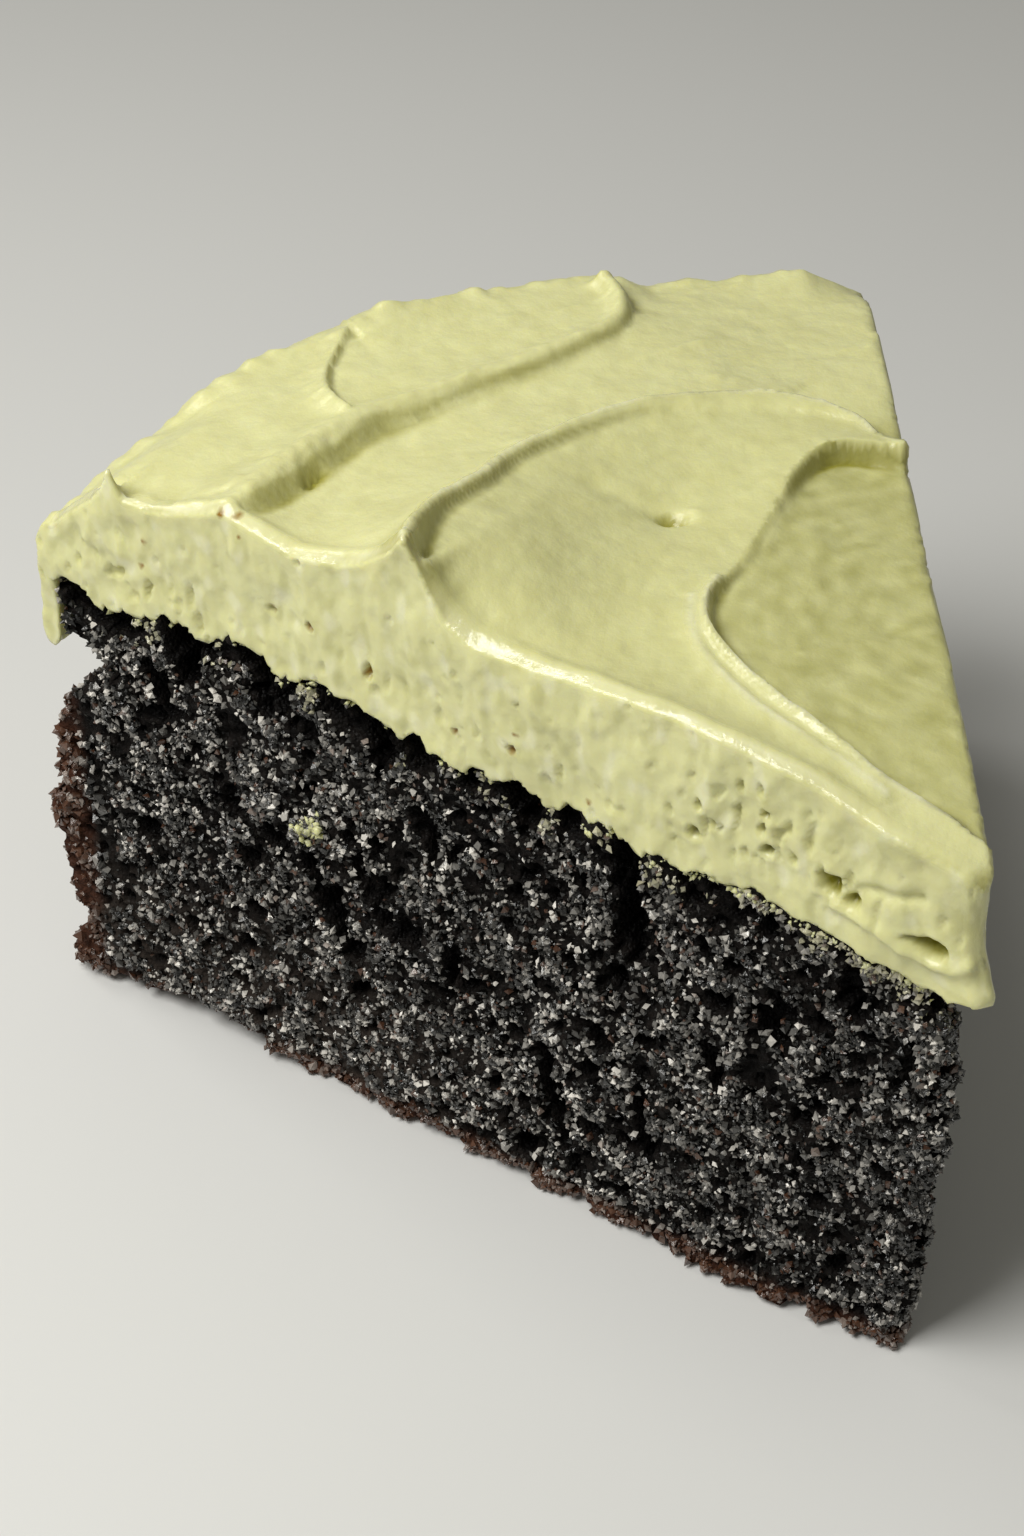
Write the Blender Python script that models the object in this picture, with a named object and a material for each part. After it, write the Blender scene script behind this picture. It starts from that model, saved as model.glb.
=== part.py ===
"""A slice of single-layer dark chocolate cake under thick, swirled frosting.

The slice is a wedge cut from a round 20 cm cake. It is worked out in millimetres with the wedge's
tip at the origin, +Y along its middle towards the outer wall and +Z up, and is then moved so that
the middle of its bounding box's bottom is the origin.

Two solids touch along one uneven sheet: the sponge below it, and the frosting above it, which also
hangs a short way down the outer wall. Frosting is laid with a spatula, so its top is a smooth floor
with swept ridges that are steep on one side.
"""

from math import asin, cos, degrees, hypot, pi, radians, sin

import bmesh
import bpy
import numpy as np
from mathutils import Vector
from mathutils.geometry import delaunay_2d_cdt
from mathutils.noise import noise

MM = 0.001

# Driving dimensions, in millimetres and degrees
TIN_RADIUS = 100.0
HALF_ANGLE = 28.5
LEDGE_RADIUS = 99.7
GAP = 0.3
SIDE_GAP = 0.5

# Height of the sponge under the frosting, by distance from the tip
SPONGE_HEIGHT = [(0, 46.0), (5, 47.8), (10, 49.2), (20, 50.0), (35, 50.2), (45, 51.0), (55, 52.2),
                 (65, 53.8), (75, 54.6), (100, 54.8)]
# Radius of the baked outer wall, by height
WALL_RADIUS = [(0, 101.5), (3, 104.0), (8, 102.0), (14, 103.6), (22, 104.6), (30, 103.2),
               (36, 101.6), (42, 99.9), (47, LEDGE_RADIUS), (60, LEDGE_RADIUS)]
# The wall is torn away under the ledge, most of all at the left corner
NOTCH_HEIGHT = 45.0
NOTCH_SPREAD = 3.2
NOTCH_DEPTH = 5.0
NOTCH_DEPTH_AROUND = 1.6
# The sponge's bottom edge: how far in its flat base starts, and how far the edge is lifted
BASE_INSET = 3.0
BASE_LIFT = 0.7
TORN_LIFT = 2.6
TORN_LIFT_AT = 86.0
TORN_LIFT_SPREAD = 9.0
FOOT_FLARE = 1.9
FOOT_FLARE_AT = 17.0
TIP_BULGE = 1.8

# Skirt of frosting that hangs down the outer wall
SKIRT_THICKNESS = 2.3
SKIRT_LOWEST = 45.5
SKIRT_RISE = 3.6

# Top edge of the frosting along the left cut: distance from the tip and height
LEFT_EDGE = [(0, 59.6), (3.7, 61.3), (7.4, 62.5), (12.1, 63.6), (16.9, 64.7), (24, 65.8), (31.5, 66.1),
             (40, 65.7), (46.8, 65.6), (50, 66.0), (52.6, 67.3), (54.7, 69.6), (56.1, 72.3),
             (57.3, 74.4), (59, 72.1), (61.8, 70.0), (64.6, 68.7), (70, 68.1), (73.7, 69.0),
             (78.3, 69.6), (82.6, 68.1), (86.4, 67.0), (89.4, 66.9), (91.3, 70.5), (93.2, 68.2),
             (97.7, 64.2), (99.7, 62.3)]
LEFT_EDGE_REACH = 5.0
# Top edge along the outer rim: degrees from the middle, left positive, and height
RIM_EDGE = [(28.5, 62.6), (24, 64.4), (18, 65.4), (14.5, 67.3), (10, 66.8), (3, 68.3), (-5, 67.0),
            (-12, 66.7), (-15, 64.4), (-20, 64.3), (-25, 65.2), (-28.5, 62.0)]
RIM_REACH = 4.5

# Floors that the spatula left between the ridges: x, y and height
FLOORS = [(-38, 80, 67.0), (-30, 84, 66.4), (-22, 91, 65.8), (-6, 93, 65.2), (8, 94, 65.4),
          (-33, 64, 68.2), (-22, 70, 67.2), (-12, 74, 67.0), (4, 77, 66.6), (18, 78, 65.8),
          (30, 76, 64.8), (38, 74, 64.2), (36, 88, 64.4), (24, 90, 64.8), (32, 62, 64.2),
          (-18, 44, 65.4), (-15, 51, 64.6), (-4, 58, 64.0), (3, 54, 63.2), (10, 60, 64.4), (18, 60, 65.2),
          (-14, 33, 65.0), (-9, 40, 64.4), (-8, 20, 64.3), (-4, 10, 63.0), (10, 52, 64.8), (3, 47, 64.6),
          (8, 40, 63.6), (18, 47, 63.6), (24, 50, 63.6), (5, 28, 63.4), (12, 27, 62.8), (4, 16, 62.9),
          (18, 36, 62.8), (3, 6, 60.8), (5, 11, 61.8)]
FLOOR_REACH = 5.0

# Ridges: crest rows of x, y, height, and how steeply the surface falls on the left and on the right
# of the crest's direction; then how far the crest leans to the right
RIDGES = [
    ("back ridge", [(-38.2, 70.4, 69.6, 0.5, 1.2), (-33.4, 72.2, 70.0, 0.7, 1.4),
                    (-29.5, 74.2, 69.9, 0.9, 1.5), (-23.0, 77.8, 69.5, 1.0, 1.6),
                    (-16.8, 80.7, 69.2, 1.0, 1.7), (-11.2, 81.2, 68.8, 0.8, 1.8),
                    (-3.8, 82.6, 68.6, 0.7, 1.8), (3.9, 83.6, 68.4, 0.7, 1.8),
                    (10.0, 84.8, 68.4, 0.8, 1.8), (16.2, 86.6, 68.4, 1.0, 2.0),
                    (18.6, 91.0, 68.2, 1.2, 2.2), (19.0, 94.8, 67.6, 1.2, 2.2)], 0.3),
    ("divider", [(-18.2, 82.2, 69.2, 1.6, 1.0), (-17.6, 86.6, 68.8, 1.0, 2.2),
                 (-16.0, 90.6, 68.2, 0.8, 2.6), (-13.2, 94.6, 67.8, 0.8, 2.6),
                 (-9.8, 98.2, 67.4, 1.0, 2.2)], 0.3),
    ("front lip", [(-41.8, 86.9, 66.6, 1.6, 1.6), (-43.4, 83.0, 68.2, 1.2, 1.6),
                   (-43.4, 80.2, 70.2, 1.4, 1.6), (-41.6, 77.0, 68.6, 0.8, 1.6),
                   (-39.4, 73.4, 68.6, 0.8, 1.6)], 0.0),
    ("crown ridge", [(-27.6, 50.4, 74.4, 2.2, 3.4), (-25.6, 52.4, 74.0, 1.9, 3.2),
                     (-23.4, 54.6, 73.4, 1.6, 2.8), (-19.8, 57.8, 72.6, 1.1, 2.4),
                     (-13.8, 60.8, 71.6, 0.7, 1.9), (-8.0, 64.8, 70.6, 0.5, 1.6),
                     (1.0, 68.0, 69.6, 0.5, 1.1), (9.4, 69.4, 68.8, 0.8, 0.75),
                     (16.8, 68.2, 68.0, 1.4, 0.6), (21.8, 66.2, 67.6, 2.2, 0.55),
                     (25.4, 62.6, 67.4, 3.0, 0.5), (27.0, 58.4, 67.2, 3.0, 0.6),
                     (26.6, 54.4, 67.0, 3.0, 1.0), (25.4, 52.0, 66.8, 3.0, 2.0)], 0.0),
    ("curled lip", [(25.4, 52.2, 66.8, 4.0, 1.6), (24.6, 54.6, 67.2, 4.5, 0.5),
                    (22.2, 56.4, 67.2, 4.5, 0.3), (18.8, 56.4, 66.8, 4.0, 0.3),
                    (16.6, 54.6, 66.4, 3.6, 0.3), (14.4, 53.4, 66.0, 3.2, 0.3),
                    (9.5, 48.9, 65.5, 2.6, 0.3), (3.9, 44.7, 65.2, 2.6, 0.4),
                    (0.9, 42.9, 65.4, 3.0, 0.6)], -0.7),
    ("bead", [(0.8, 42.8, 65.6, 3.4, 0.5), (-2.0, 39.5, 66.0, 3.4, 0.4), (-3.8, 35.9, 66.1, 3.2, 0.4),
              (-4.5, 29.9, 66.0, 3.2, 0.6), (-3.9, 23.8, 65.8, 3.0, 0.8), (-2.6, 18.3, 65.3, 2.8, 1.0),
              (-1.5, 12.9, 64.6, 2.6, 1.2), (-0.2, 9.9, 64.0, 2.6, 1.2), (1.2, 7.0, 63.0, 2.4, 1.2),
              (1.9, 4.4, 61.8, 2.4, 1.2)], 0.0),
]
DEEPEST = 57.0
CREST_RADIUS = 0.4
BLEND = 0.35

# Mesh spacing
EDGE_STEP = 2.5
RIM_STEP = 3.0
TOP_STEP = 2.3
CUT_STEP = 3.4
INNER_STEP = 5.5
PATH_STEP = 0.5
NUDGE = 0.05
WALL_LEVELS = 15
NOSE_LEVELS = 12


def table(rows, value):
    """Straight-line reading of a two-column table."""
    first = [row[0] for row in rows]
    second = [row[1] for row in rows]
    if first[0] > first[-1]:
        first.reverse()
        second.reverse()
    return float(np.interp(value, first, second))


def ripple(x, y, z, size):
    """Smooth noise from about -1 to 1 with bumps of the given size."""
    return noise(Vector((x / size, y / size, z / size)))


def smooth_path(points, step=PATH_STEP):
    """Catmull-Rom curve through the points, as rows read every step or so."""
    rows = np.array(points, dtype=float)
    rows = np.vstack([2 * rows[0] - rows[1], rows, 2 * rows[-1] - rows[-2]])
    path = []
    for a, b, c, d in zip(rows, rows[1:], rows[2:], rows[3:]):
        count = max(2, int(np.linalg.norm(c - b) / step))
        for t in np.arange(count) / count:
            path.append(0.5 * (2 * b + (c - a) * t + (2 * a - 5 * b + 4 * c - d) * t ** 2
                               + (3 * b - a - 3 * c + d) * t ** 3))
    path.append(rows[-2])
    return np.array(path)


def fall(distance, crest, slope):
    """How far the surface lies below a crest, at a distance from it."""
    rounded = np.sqrt(distance ** 2 + CREST_RADIUS ** 2) - CREST_RADIUS
    depth = crest - DEEPEST
    return depth * (1 - np.exp(-rounded * slope / depth))


def nearest_on_crest(plan, path):
    """Distance to the crest, which side of it (left positive), and the crest's row."""
    away = plan[:, None, :] - path[None, :, :2]
    squared = (away ** 2).sum(axis=2)
    index = squared.argmin(axis=1)
    tangent = np.gradient(path[:, :2], axis=0)
    tangent = (tangent / np.linalg.norm(tangent, axis=1)[:, None])[index]
    offset = plan - path[index, :2]
    side = tangent[:, 0] * offset[:, 1] - tangent[:, 1] * offset[:, 0]
    beyond = np.abs((tangent * offset).sum(axis=1)) > PATH_STEP
    return np.where(beyond, np.sqrt(squared.min(axis=1)), np.abs(side)), side, index


def floor_height(plan):
    """Height of the smooth floors, blended from the nearest ones."""
    spots = np.array(FLOORS, dtype=float)
    squared = ((plan[:, None, :] - spots[None, :, :2]) ** 2).sum(axis=2)
    nearest = squared.min(axis=1, keepdims=True)
    weight = np.exp(-(squared - nearest) / (2 * FLOOR_REACH ** 2))
    return (weight * spots[:, 2]).sum(axis=1) / weight.sum(axis=1)


def soft_max(layers):
    """The highest of the layers, with rounded valleys between them."""
    stack = np.array(layers) / BLEND
    highest = stack.max(axis=0)
    return BLEND * (highest + np.log(np.exp(stack - highest).sum(axis=0)))


def ridge_layers(plan):
    """One layer of height for each ridge."""
    layers = []
    for _, crest, _ in RIDGES:
        path = smooth_path(crest)
        distance, side, index = nearest_on_crest(plan, path)
        height = path[index, 2]
        left = fall(distance, height, path[index, 3])
        right = fall(distance, height, path[index, 4])
        layers.append(height - np.where(side > 0, left, right))
    return layers


def swirl_height(plan):
    """Height of the spread frosting before it is trimmed to its edges."""
    return soft_max([floor_height(plan)] + ridge_layers(plan))


def cut_point(distance, side=-1):
    """Plan position on the left (-1) or right (1) cut, by distance from the tip."""
    half = radians(HALF_ANGLE)
    return side * distance * sin(half), distance * cos(half)


def rim_point(radius, angle):
    """Plan position by radius and by degrees from the middle, left positive."""
    turn = radians(angle)
    return -radius * sin(turn), radius * cos(turn)


def frosting_top(plan):
    """Height of the frosting, with its left and outer edges as they were cut and rolled over."""
    height = swirl_height(plan)
    half = radians(HALF_ANGLE)
    reach = np.hypot(plan[:, 0], plan[:, 1])
    along = -plan[:, 0] * sin(half) + plan[:, 1] * cos(half)
    inside = plan[:, 0] * cos(half) + plan[:, 1] * sin(half)
    on_edge = np.array([cut_point(s) for s in along])
    wanted = np.interp(along, [row[0] for row in LEFT_EDGE], [row[1] for row in LEFT_EDGE])
    share = np.exp(-(np.maximum(inside, 0) / LEFT_EDGE_REACH) ** 1.5)
    height = height + (wanted - swirl_height(on_edge)) * share
    angle = np.degrees(np.arctan2(-plan[:, 0], plan[:, 1]))
    rim = np.array([table(RIM_EDGE, a) for a in angle])
    at_rim = np.array([rim_point(TIN_RADIUS - 1, a) for a in angle])
    share_rim = np.exp(-(np.maximum(TIN_RADIUS - reach, 0) / RIM_REACH) ** 2) * (1 - share)
    return height + (rim - swirl_height(at_rim)) * share_rim


def sheet_height(x, y):
    """Height of the uneven sheet between sponge and frosting."""
    base = table(SPONGE_HEIGHT, hypot(x, y))
    return base + 1.0 * ripple(x, y, 3.1, 4.4) + 0.6 * ripple(x, y, 8.7, 9.0)


def wall_radius(z, angle):
    """Radius of the outer wall, torn in under the ledge."""
    at_corner = np.exp(-((HALF_ANGLE - angle) / 7.0) ** 2)
    depth = NOTCH_DEPTH_AROUND + (NOTCH_DEPTH - NOTCH_DEPTH_AROUND) * at_corner
    notch = depth * np.exp(-((z - NOTCH_HEIGHT) / NOTCH_SPREAD) ** 2) if z < 48 else 0.0
    x, y = rim_point(TIN_RADIUS, angle)
    lumps = 1.1 * ripple(x, y, z, 9.0) * min(1.0, max(0.0, (44 - z) / 8))
    return table(WALL_RADIUS, z) - notch + lumps


def skirt_lowest(angle):
    """Height at which the skirt of frosting ends."""
    at_corner = np.exp(-((HALF_ANGLE - angle) / 4.0) ** 2)
    wave = 0.5 + 0.5 * sin(radians(angle * 13)) * cos(radians(angle * 5 + 40))
    return SKIRT_LOWEST + SKIRT_RISE * wave * (1 - at_corner)


def lattice(polygon, step, extra=()):
    """Points on a triangular lattice that lie well inside a polygon, and clear of extra points."""
    ring = np.array(polygon, dtype=float)
    low, high = ring.min(axis=0), ring.max(axis=0)
    points = []
    for row, y in enumerate(np.arange(low[1] + 0.5 * step, high[1], step * 0.866)):
        for x in np.arange(low[0] + (0.25 + 0.5 * (row % 2)) * step, high[0], step):
            points.append((x, y))
    points = np.array(points)
    follow = np.roll(ring, -1, axis=0)
    crosses = (ring[None, :, 1] > points[:, 1:]) != (follow[None, :, 1] > points[:, 1:])
    rise = np.where(follow[:, 1] == ring[:, 1], 1e-9, follow[:, 1] - ring[:, 1])
    meet = ring[:, 0] + (points[:, 1:] - ring[:, 1]) / rise * (follow[:, 0] - ring[:, 0])
    inside = (crosses & (points[:, :1] < meet)).sum(axis=1) % 2 == 1
    edge = follow - ring
    along = ((points[:, None, :] - ring) * edge).sum(axis=2) / (edge ** 2).sum(axis=1)
    nearest = ring + np.clip(along, 0, 1)[:, :, None] * edge
    clear = np.sqrt(((points[:, None, :] - nearest) ** 2).sum(axis=2)).min(axis=1)
    keep = inside & (clear > 0.55 * step)
    if len(extra):
        spare = np.sqrt(((points[:, None, :] - np.array(extra)[None, :, :2]) ** 2).sum(axis=2))
        keep &= spare.min(axis=1) > 0.7 * step
    return [tuple(point) for point in points[keep]]


def unaligned(polygon):
    """The polygon with every second corner nudged outward, so that no three stand in one line."""
    ring = np.array(polygon, dtype=float)
    before, after = np.roll(ring, 1, axis=0), np.roll(ring, -1, axis=0)
    area = (ring[:, 0] * after[:, 1] - after[:, 0] * ring[:, 1]).sum()
    along = after - before
    out = np.stack([along[:, 1], -along[:, 0]], axis=1) * np.sign(area)
    out /= np.linalg.norm(out, axis=1)[:, None]
    ring[1::2] += NUDGE * out[1::2]
    return ring


def fill(polygon, inner):
    """Triangles over a polygon and its inner points, as numbers into polygon + inner."""
    points = [Vector(point) for point in list(unaligned(polygon)) + list(inner)]
    before = points[len(polygon) - 1:len(polygon)] + points[:len(polygon) - 1]
    turn = sum(a.cross(b) for a, b in zip(before, points))
    ring = list(range(len(polygon)))
    made = delaunay_2d_cdt(points, [], [ring if turn > 0 else ring[::-1]], 1, 1e-5, True)
    origin = [ids[0] for ids in made[3]]
    return [[origin[v] for v in face] for face, owners in zip(made[2], made[5]) if owners]


class Shell:
    """Corner points and faces of one closed solid, gathered patch by patch."""

    def __init__(self):
        self.points = []
        self.faces = []

    def add(self, points):
        """Adds corner points and returns their numbers."""
        first = len(self.points)
        self.points.extend(points)
        return list(range(first, len(self.points)))

    def patch(self, border, flat_border, flat_inner, inner_points):
        """Fills a border of known corners, laid out flat, with a patch of triangles."""
        numbers = list(border) + self.add(inner_points)
        for face in fill(flat_border, flat_inner):
            self.faces.append([numbers[i] for i in face])

    def strip(self, lines):
        """Joins neighbouring lines of corners with four-sided faces."""
        for one, two in zip(lines, lines[1:]):
            for a, b, c, d in zip(one, one[1:], two[1:], two):
                self.faces.append([a, b, c, d])


def shaped(point):
    """Moves a point of either solid as the knife, the tin and the plate left it."""
    x, y, z = point
    half = radians(HALF_ANGLE)
    reach = hypot(x, y)
    moved = Vector((x, y, z))
    for side in (-1, 1):
        out = Vector((side * cos(half), -sin(half), 0))
        along = side * x * sin(half) + y * cos(half)
        depth = -(out.x * x + out.y * y)
        share = np.exp(-(max(depth, 0) / 4.0) ** 2)
        swell = 0.7 * ripple(along, 7.0 * side, z, 11.0) + 0.35 * ripple(along, 3.0, z * side, 4.5)
        if side > 0:
            swell += 1.1 * np.exp(-((along - 78) / 22) ** 2) * np.exp(-((z - 40) / 16) ** 2)
        near_foot = np.exp(-((along - FOOT_FLARE_AT) / 7.0) ** 2) * np.exp(-(z / 3.0) ** 2)
        swell += FOOT_FLARE * near_foot if side < 0 else 0.0
        moved += out * float(share * swell)
    nose = np.exp(-(reach / 5.0) ** 2)
    belly = TIP_BULGE * sin(pi * min(max((z - 3) / 46.0, 0), 1)) + 2.2 * np.exp(-((z - 50) / 3.5) ** 2)
    moved.y -= float(nose * belly)
    return moved


def rim_angles():
    """Degrees from the middle of the stations along the rim, from left to right."""
    count = round(TIN_RADIUS * radians(2 * HALF_ANGLE) / RIM_STEP)
    return [HALF_ANGLE - 2 * HALF_ANGLE * i / count for i in range(count + 1)]


def plan_outline(radius):
    """Outline of the slice seen from above: tip, left cut, rim and right cut back to the tip."""
    count = round(TIN_RADIUS / EDGE_STEP)
    steps = [radius * i / count for i in range(count)]
    left = [cut_point(s, -1) for s in steps]
    rim = [rim_point(radius, angle) for angle in rim_angles()]
    right = [cut_point(s, 1) for s in steps[:0:-1]]
    return left, rim, right


def crest_points():
    """Plan positions along every ridge, which keep the crests sharp in the mesh."""
    half = radians(HALF_ANGLE)
    kept = []
    for _, crest, _ in RIDGES:
        for x, y in smooth_path(crest, TOP_STEP)[:, :2]:
            inside = y * sin(half) - abs(x) * cos(half)
            clear = all(hypot(x - a, y - b) > 0.6 * TOP_STEP for a, b in kept)
            if inside > 0.5 * TOP_STEP and hypot(x, y) < TIN_RADIUS - TOP_STEP and clear:
                kept.append((x, y))
    return kept


def leaned(plan):
    """Corner points of the frosting's top, with the crests leaning the way they were swept."""
    height = frosting_top(np.array(plan))
    moved = np.array(plan, dtype=float)
    for _, crest, lean in RIDGES:
        path = smooth_path(crest)
        distance, _, index = nearest_on_crest(np.array(plan), path)
        tangent = np.gradient(path[:, :2], axis=0)[index]
        tangent /= np.linalg.norm(tangent, axis=1)[:, None]
        right = np.stack([tangent[:, 1], -tangent[:, 0]], axis=1)
        edge = np.array([min(1.0, (y * sin(radians(HALF_ANGLE)) - abs(x) * cos(radians(HALF_ANGLE))) / 4)
                         for x, y in plan])
        moved += right * (lean * np.exp(-(distance / 1.4) ** 2) * np.maximum(edge, 0))[:, None]
    return [(x, y, z) for (x, y), z in zip(moved, height)]


def skirt_profile(angle, top, sheet):
    """Radius and height down the outside of the frosting's rim and up the inside of its skirt."""
    low = skirt_lowest(angle)
    outer = LEDGE_RADIUS + SIDE_GAP + SKIRT_THICKNESS
    inner = LEDGE_RADIUS + SIDE_GAP
    return [(outer - 1.5, top - 1.0), (outer - 0.4, top - 3.0), (outer - 0.6, 0.5 * (top + sheet)),
            (outer - 0.7, sheet), (outer, 0.6 * sheet + 0.4 * low), (outer + 0.4, low + 1.2),
            (outer - 0.7, low), (inner + 0.3, low + 0.9), (inner, sheet - 1.6)]


def frosting():
    """The frosting: swirled top, cut sides, rolled rim with its skirt, and uneven underside."""
    shell = Shell()
    left, rim, right = plan_outline(TIN_RADIUS - 0.6)
    outline = left + rim + right
    crests = crest_points()
    inner = crests + lattice(outline, TOP_STEP, crests)
    top = leaned(outline + inner)
    border = shell.add(top[:len(outline)])
    shell.patch(border, outline, inner, top[len(outline):])

    low_left, low_rim, low_right = plan_outline(LEDGE_RADIUS)
    low_outline = low_left + low_rim + low_right
    low_inner = lattice(low_outline, INNER_STEP)
    under = [(x, y, sheet_height(x, y) + GAP) for x, y in low_outline + low_inner]
    for i, angle in enumerate(rim_angles(), start=len(low_left)):
        under[i] = (*rim_point(LEDGE_RADIUS + SIDE_GAP, angle), under[i][2])
    low_border = shell.add(under[:len(low_outline)])
    shell.patch(low_border, low_outline, low_inner, under[len(low_outline):])

    lines = []
    for i, angle in enumerate(rim_angles()):
        edge, foot = border[len(left) + i], low_border[len(left) + i]
        profile = skirt_profile(angle, shell.points[edge][2], shell.points[foot][2])
        ring = [(*rim_point(radius, angle), z) for radius, z in profile]
        lines.append([edge] + shell.add(ring) + [foot])
    shell.strip(lines)

    nose = [shell.points[border[0]][2], shell.points[low_border[0]][2]]
    levels = [nose[0] + (nose[1] - nose[0]) * k / 5 for k in range(1, 5)]
    nose_line = shell.add([(0, 0, z) for z in levels])
    first, last = len(left), len(left) + len(rim) - 1
    close_cut(shell, border[:first + 1], lines[0], low_border[:first + 1], nose_line, 0.8 * CUT_STEP)
    close_cut(shell, [border[0]] + border[:last - 1:-1], lines[-1],
              [low_border[0]] + low_border[:last - 1:-1], nose_line, 0.8 * CUT_STEP)
    return shell


def close_cut(shell, upper, outer, lower, nose, step):
    """Closes a cut side between its upper edge, outer profile, lower edge and tip line."""
    ring = list(upper) + list(outer[1:-1]) + list(reversed(lower)) + list(reversed(nose))
    flat = [(hypot(*shell.points[i][:2]), shell.points[i][2]) for i in ring]
    side = 1 if shell.points[upper[-1]][0] > 0 else -1
    inner = lattice(flat, step)
    shell.patch(ring, flat, inner, [(*cut_point(s, side), z) for s, z in inner])


def sponge():
    """The sponge: uneven top, torn cut sides, baked outer wall and a flat base."""
    shell = Shell()
    left, rim, right = plan_outline(LEDGE_RADIUS)
    outline = left + rim + right
    inner = lattice(outline, INNER_STEP)
    top = [(x, y, sheet_height(x, y)) for x, y in outline + inner]
    border = shell.add(top[:len(outline)])
    shell.patch(border, outline, inner, top[len(outline):])

    foot = []
    for x, y in outline:
        reach = hypot(x, y)
        torn = TORN_LIFT * np.exp(-((reach - TORN_LIFT_AT) / TORN_LIFT_SPREAD) ** 2) if x < 0 else 0.0
        foot.append((x, y, BASE_LIFT + torn + 0.3 * ripple(x, y, 0.0, 5.0)))
    foot_border = shell.add(foot)

    lines = []
    for i, angle in enumerate(rim_angles()):
        upper, lower = border[len(left) + i], foot_border[len(left) + i]
        z_top, z_low = shell.points[upper][2], shell.points[lower][2]
        shell.points[lower] = (*rim_point(wall_radius(z_low, angle), angle), z_low)
        levels = [z_top + (z_low - z_top) * k / WALL_LEVELS for k in range(1, WALL_LEVELS)]
        ring = [(*rim_point(wall_radius(z, angle), angle), z) for z in levels]
        lines.append([upper] + shell.add(ring) + [lower])
    shell.strip(lines)

    z_top, z_low = shell.points[border[0]][2], shell.points[foot_border[0]][2]
    levels = [z_top + (z_low - z_top) * k / NOSE_LEVELS for k in range(1, NOSE_LEVELS)]
    nose_line = shell.add([(0, 0, z) for z in levels])
    first, last = len(left), len(left) + len(rim) - 1
    close_cut(shell, border[:first + 1], lines[0], foot_border[:first + 1], nose_line, CUT_STEP)
    close_cut(shell, [border[0]] + border[:last - 1:-1], lines[-1],
              [foot_border[0]] + foot_border[:last - 1:-1], nose_line, CUT_STEP)

    base = shell.add(base_outline(len(left)))
    shell.strip([foot_border + foot_border[:1], base + base[:1]])
    shell.faces.append(base)
    return shell


def base_outline(count):
    """Outline of the flat base: a smaller wedge, BASE_INSET in from the slice's own."""
    half = radians(HALF_ANGLE)
    tip = BASE_INSET / sin(half)
    radius = LEDGE_RADIUS - BASE_INSET
    length = (radius ** 2 - (tip * sin(half)) ** 2) ** 0.5 - tip * cos(half)
    corner = degrees(asin(length * sin(half) / radius))
    steps = [length * i / count for i in range(count)]
    left = [cut_point(s, -1) for s in steps]
    right = [cut_point(s, 1) for s in steps[:0:-1]]
    rim = [rim_point(radius, angle * corner / HALF_ANGLE) for angle in rim_angles()]
    return ([(x, y + tip, 0.0) for x, y in left] + [(x, y, 0.0) for x, y in rim]
            + [(x, y + tip, 0.0) for x, y in right])


def finish_object(name, shell, colour, roughness, centre):
    """Turns a shell into a named object with its own material."""
    mesh = bpy.data.meshes.new(name)
    corners = [(shaped(point) - centre) * MM for point in shell.points]
    for i, (point, corner) in enumerate(zip(shell.points, corners)):
        if point[2] == 0.0:
            corners[i] = Vector((corner.x, corner.y, 0.0))
    mesh.from_pydata(corners, [], shell.faces)
    work = bmesh.new()
    work.from_mesh(mesh)
    bmesh.ops.recalc_face_normals(work, faces=work.faces)
    work.to_mesh(mesh)
    work.free()
    mesh.shade_smooth()
    mesh.set_sharp_from_angle(angle=radians(50))
    material = bpy.data.materials.new(name)
    material.use_nodes = True
    surface = material.node_tree.nodes["Principled BSDF"]
    surface.inputs["Base Color"].default_value = (*colour, 1.0)
    surface.inputs["Roughness"].default_value = roughness
    surface.inputs["Metallic"].default_value = 0.0
    mesh.materials.append(material)
    item = bpy.data.objects.new(name, mesh)
    bpy.context.scene.collection.objects.link(item)
    return item


def middle_of(shells):
    """Centre of the bounding box's bottom, in millimetres."""
    points = np.array([shaped(point) for shell in shells for point in shell.points])
    low, high = points.min(axis=0), points.max(axis=0)
    return Vector((0.5 * (low[0] + high[0]), 0.5 * (low[1] + high[1]), 0.0))


def main():
    """Builds the slice."""
    for item in list(bpy.data.objects):
        bpy.data.objects.remove(item)
    crumb, icing = sponge(), frosting()
    centre = middle_of([crumb, icing])
    finish_object("sponge", crumb, (0.022, 0.017, 0.014), 0.75, centre)
    finish_object("frosting", icing, (0.70, 0.68, 0.33), 0.35, centre)


main()
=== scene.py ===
"""Looks for a slice of dark chocolate cake under swirled, pale green buttercream.

The slice stands on a plain pale floor in soft studio light, seen from the photograph's viewpoint.
Shapes are worked out in millimetres with the wedge's tip at the origin, +Y along its middle towards
the outer wall and +Z up, and are moved into the frame's coordinates when they become meshes.
"""

import logging
from dataclasses import dataclass, field
from enum import Enum
from math import asin, cos, degrees, hypot, pi, radians, sin

import bmesh
import bpy
import numpy as np
from mathutils import Matrix, Vector
from mathutils.geometry import delaunay_2d_cdt
from mathutils.noise import noise, voronoi


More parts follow.
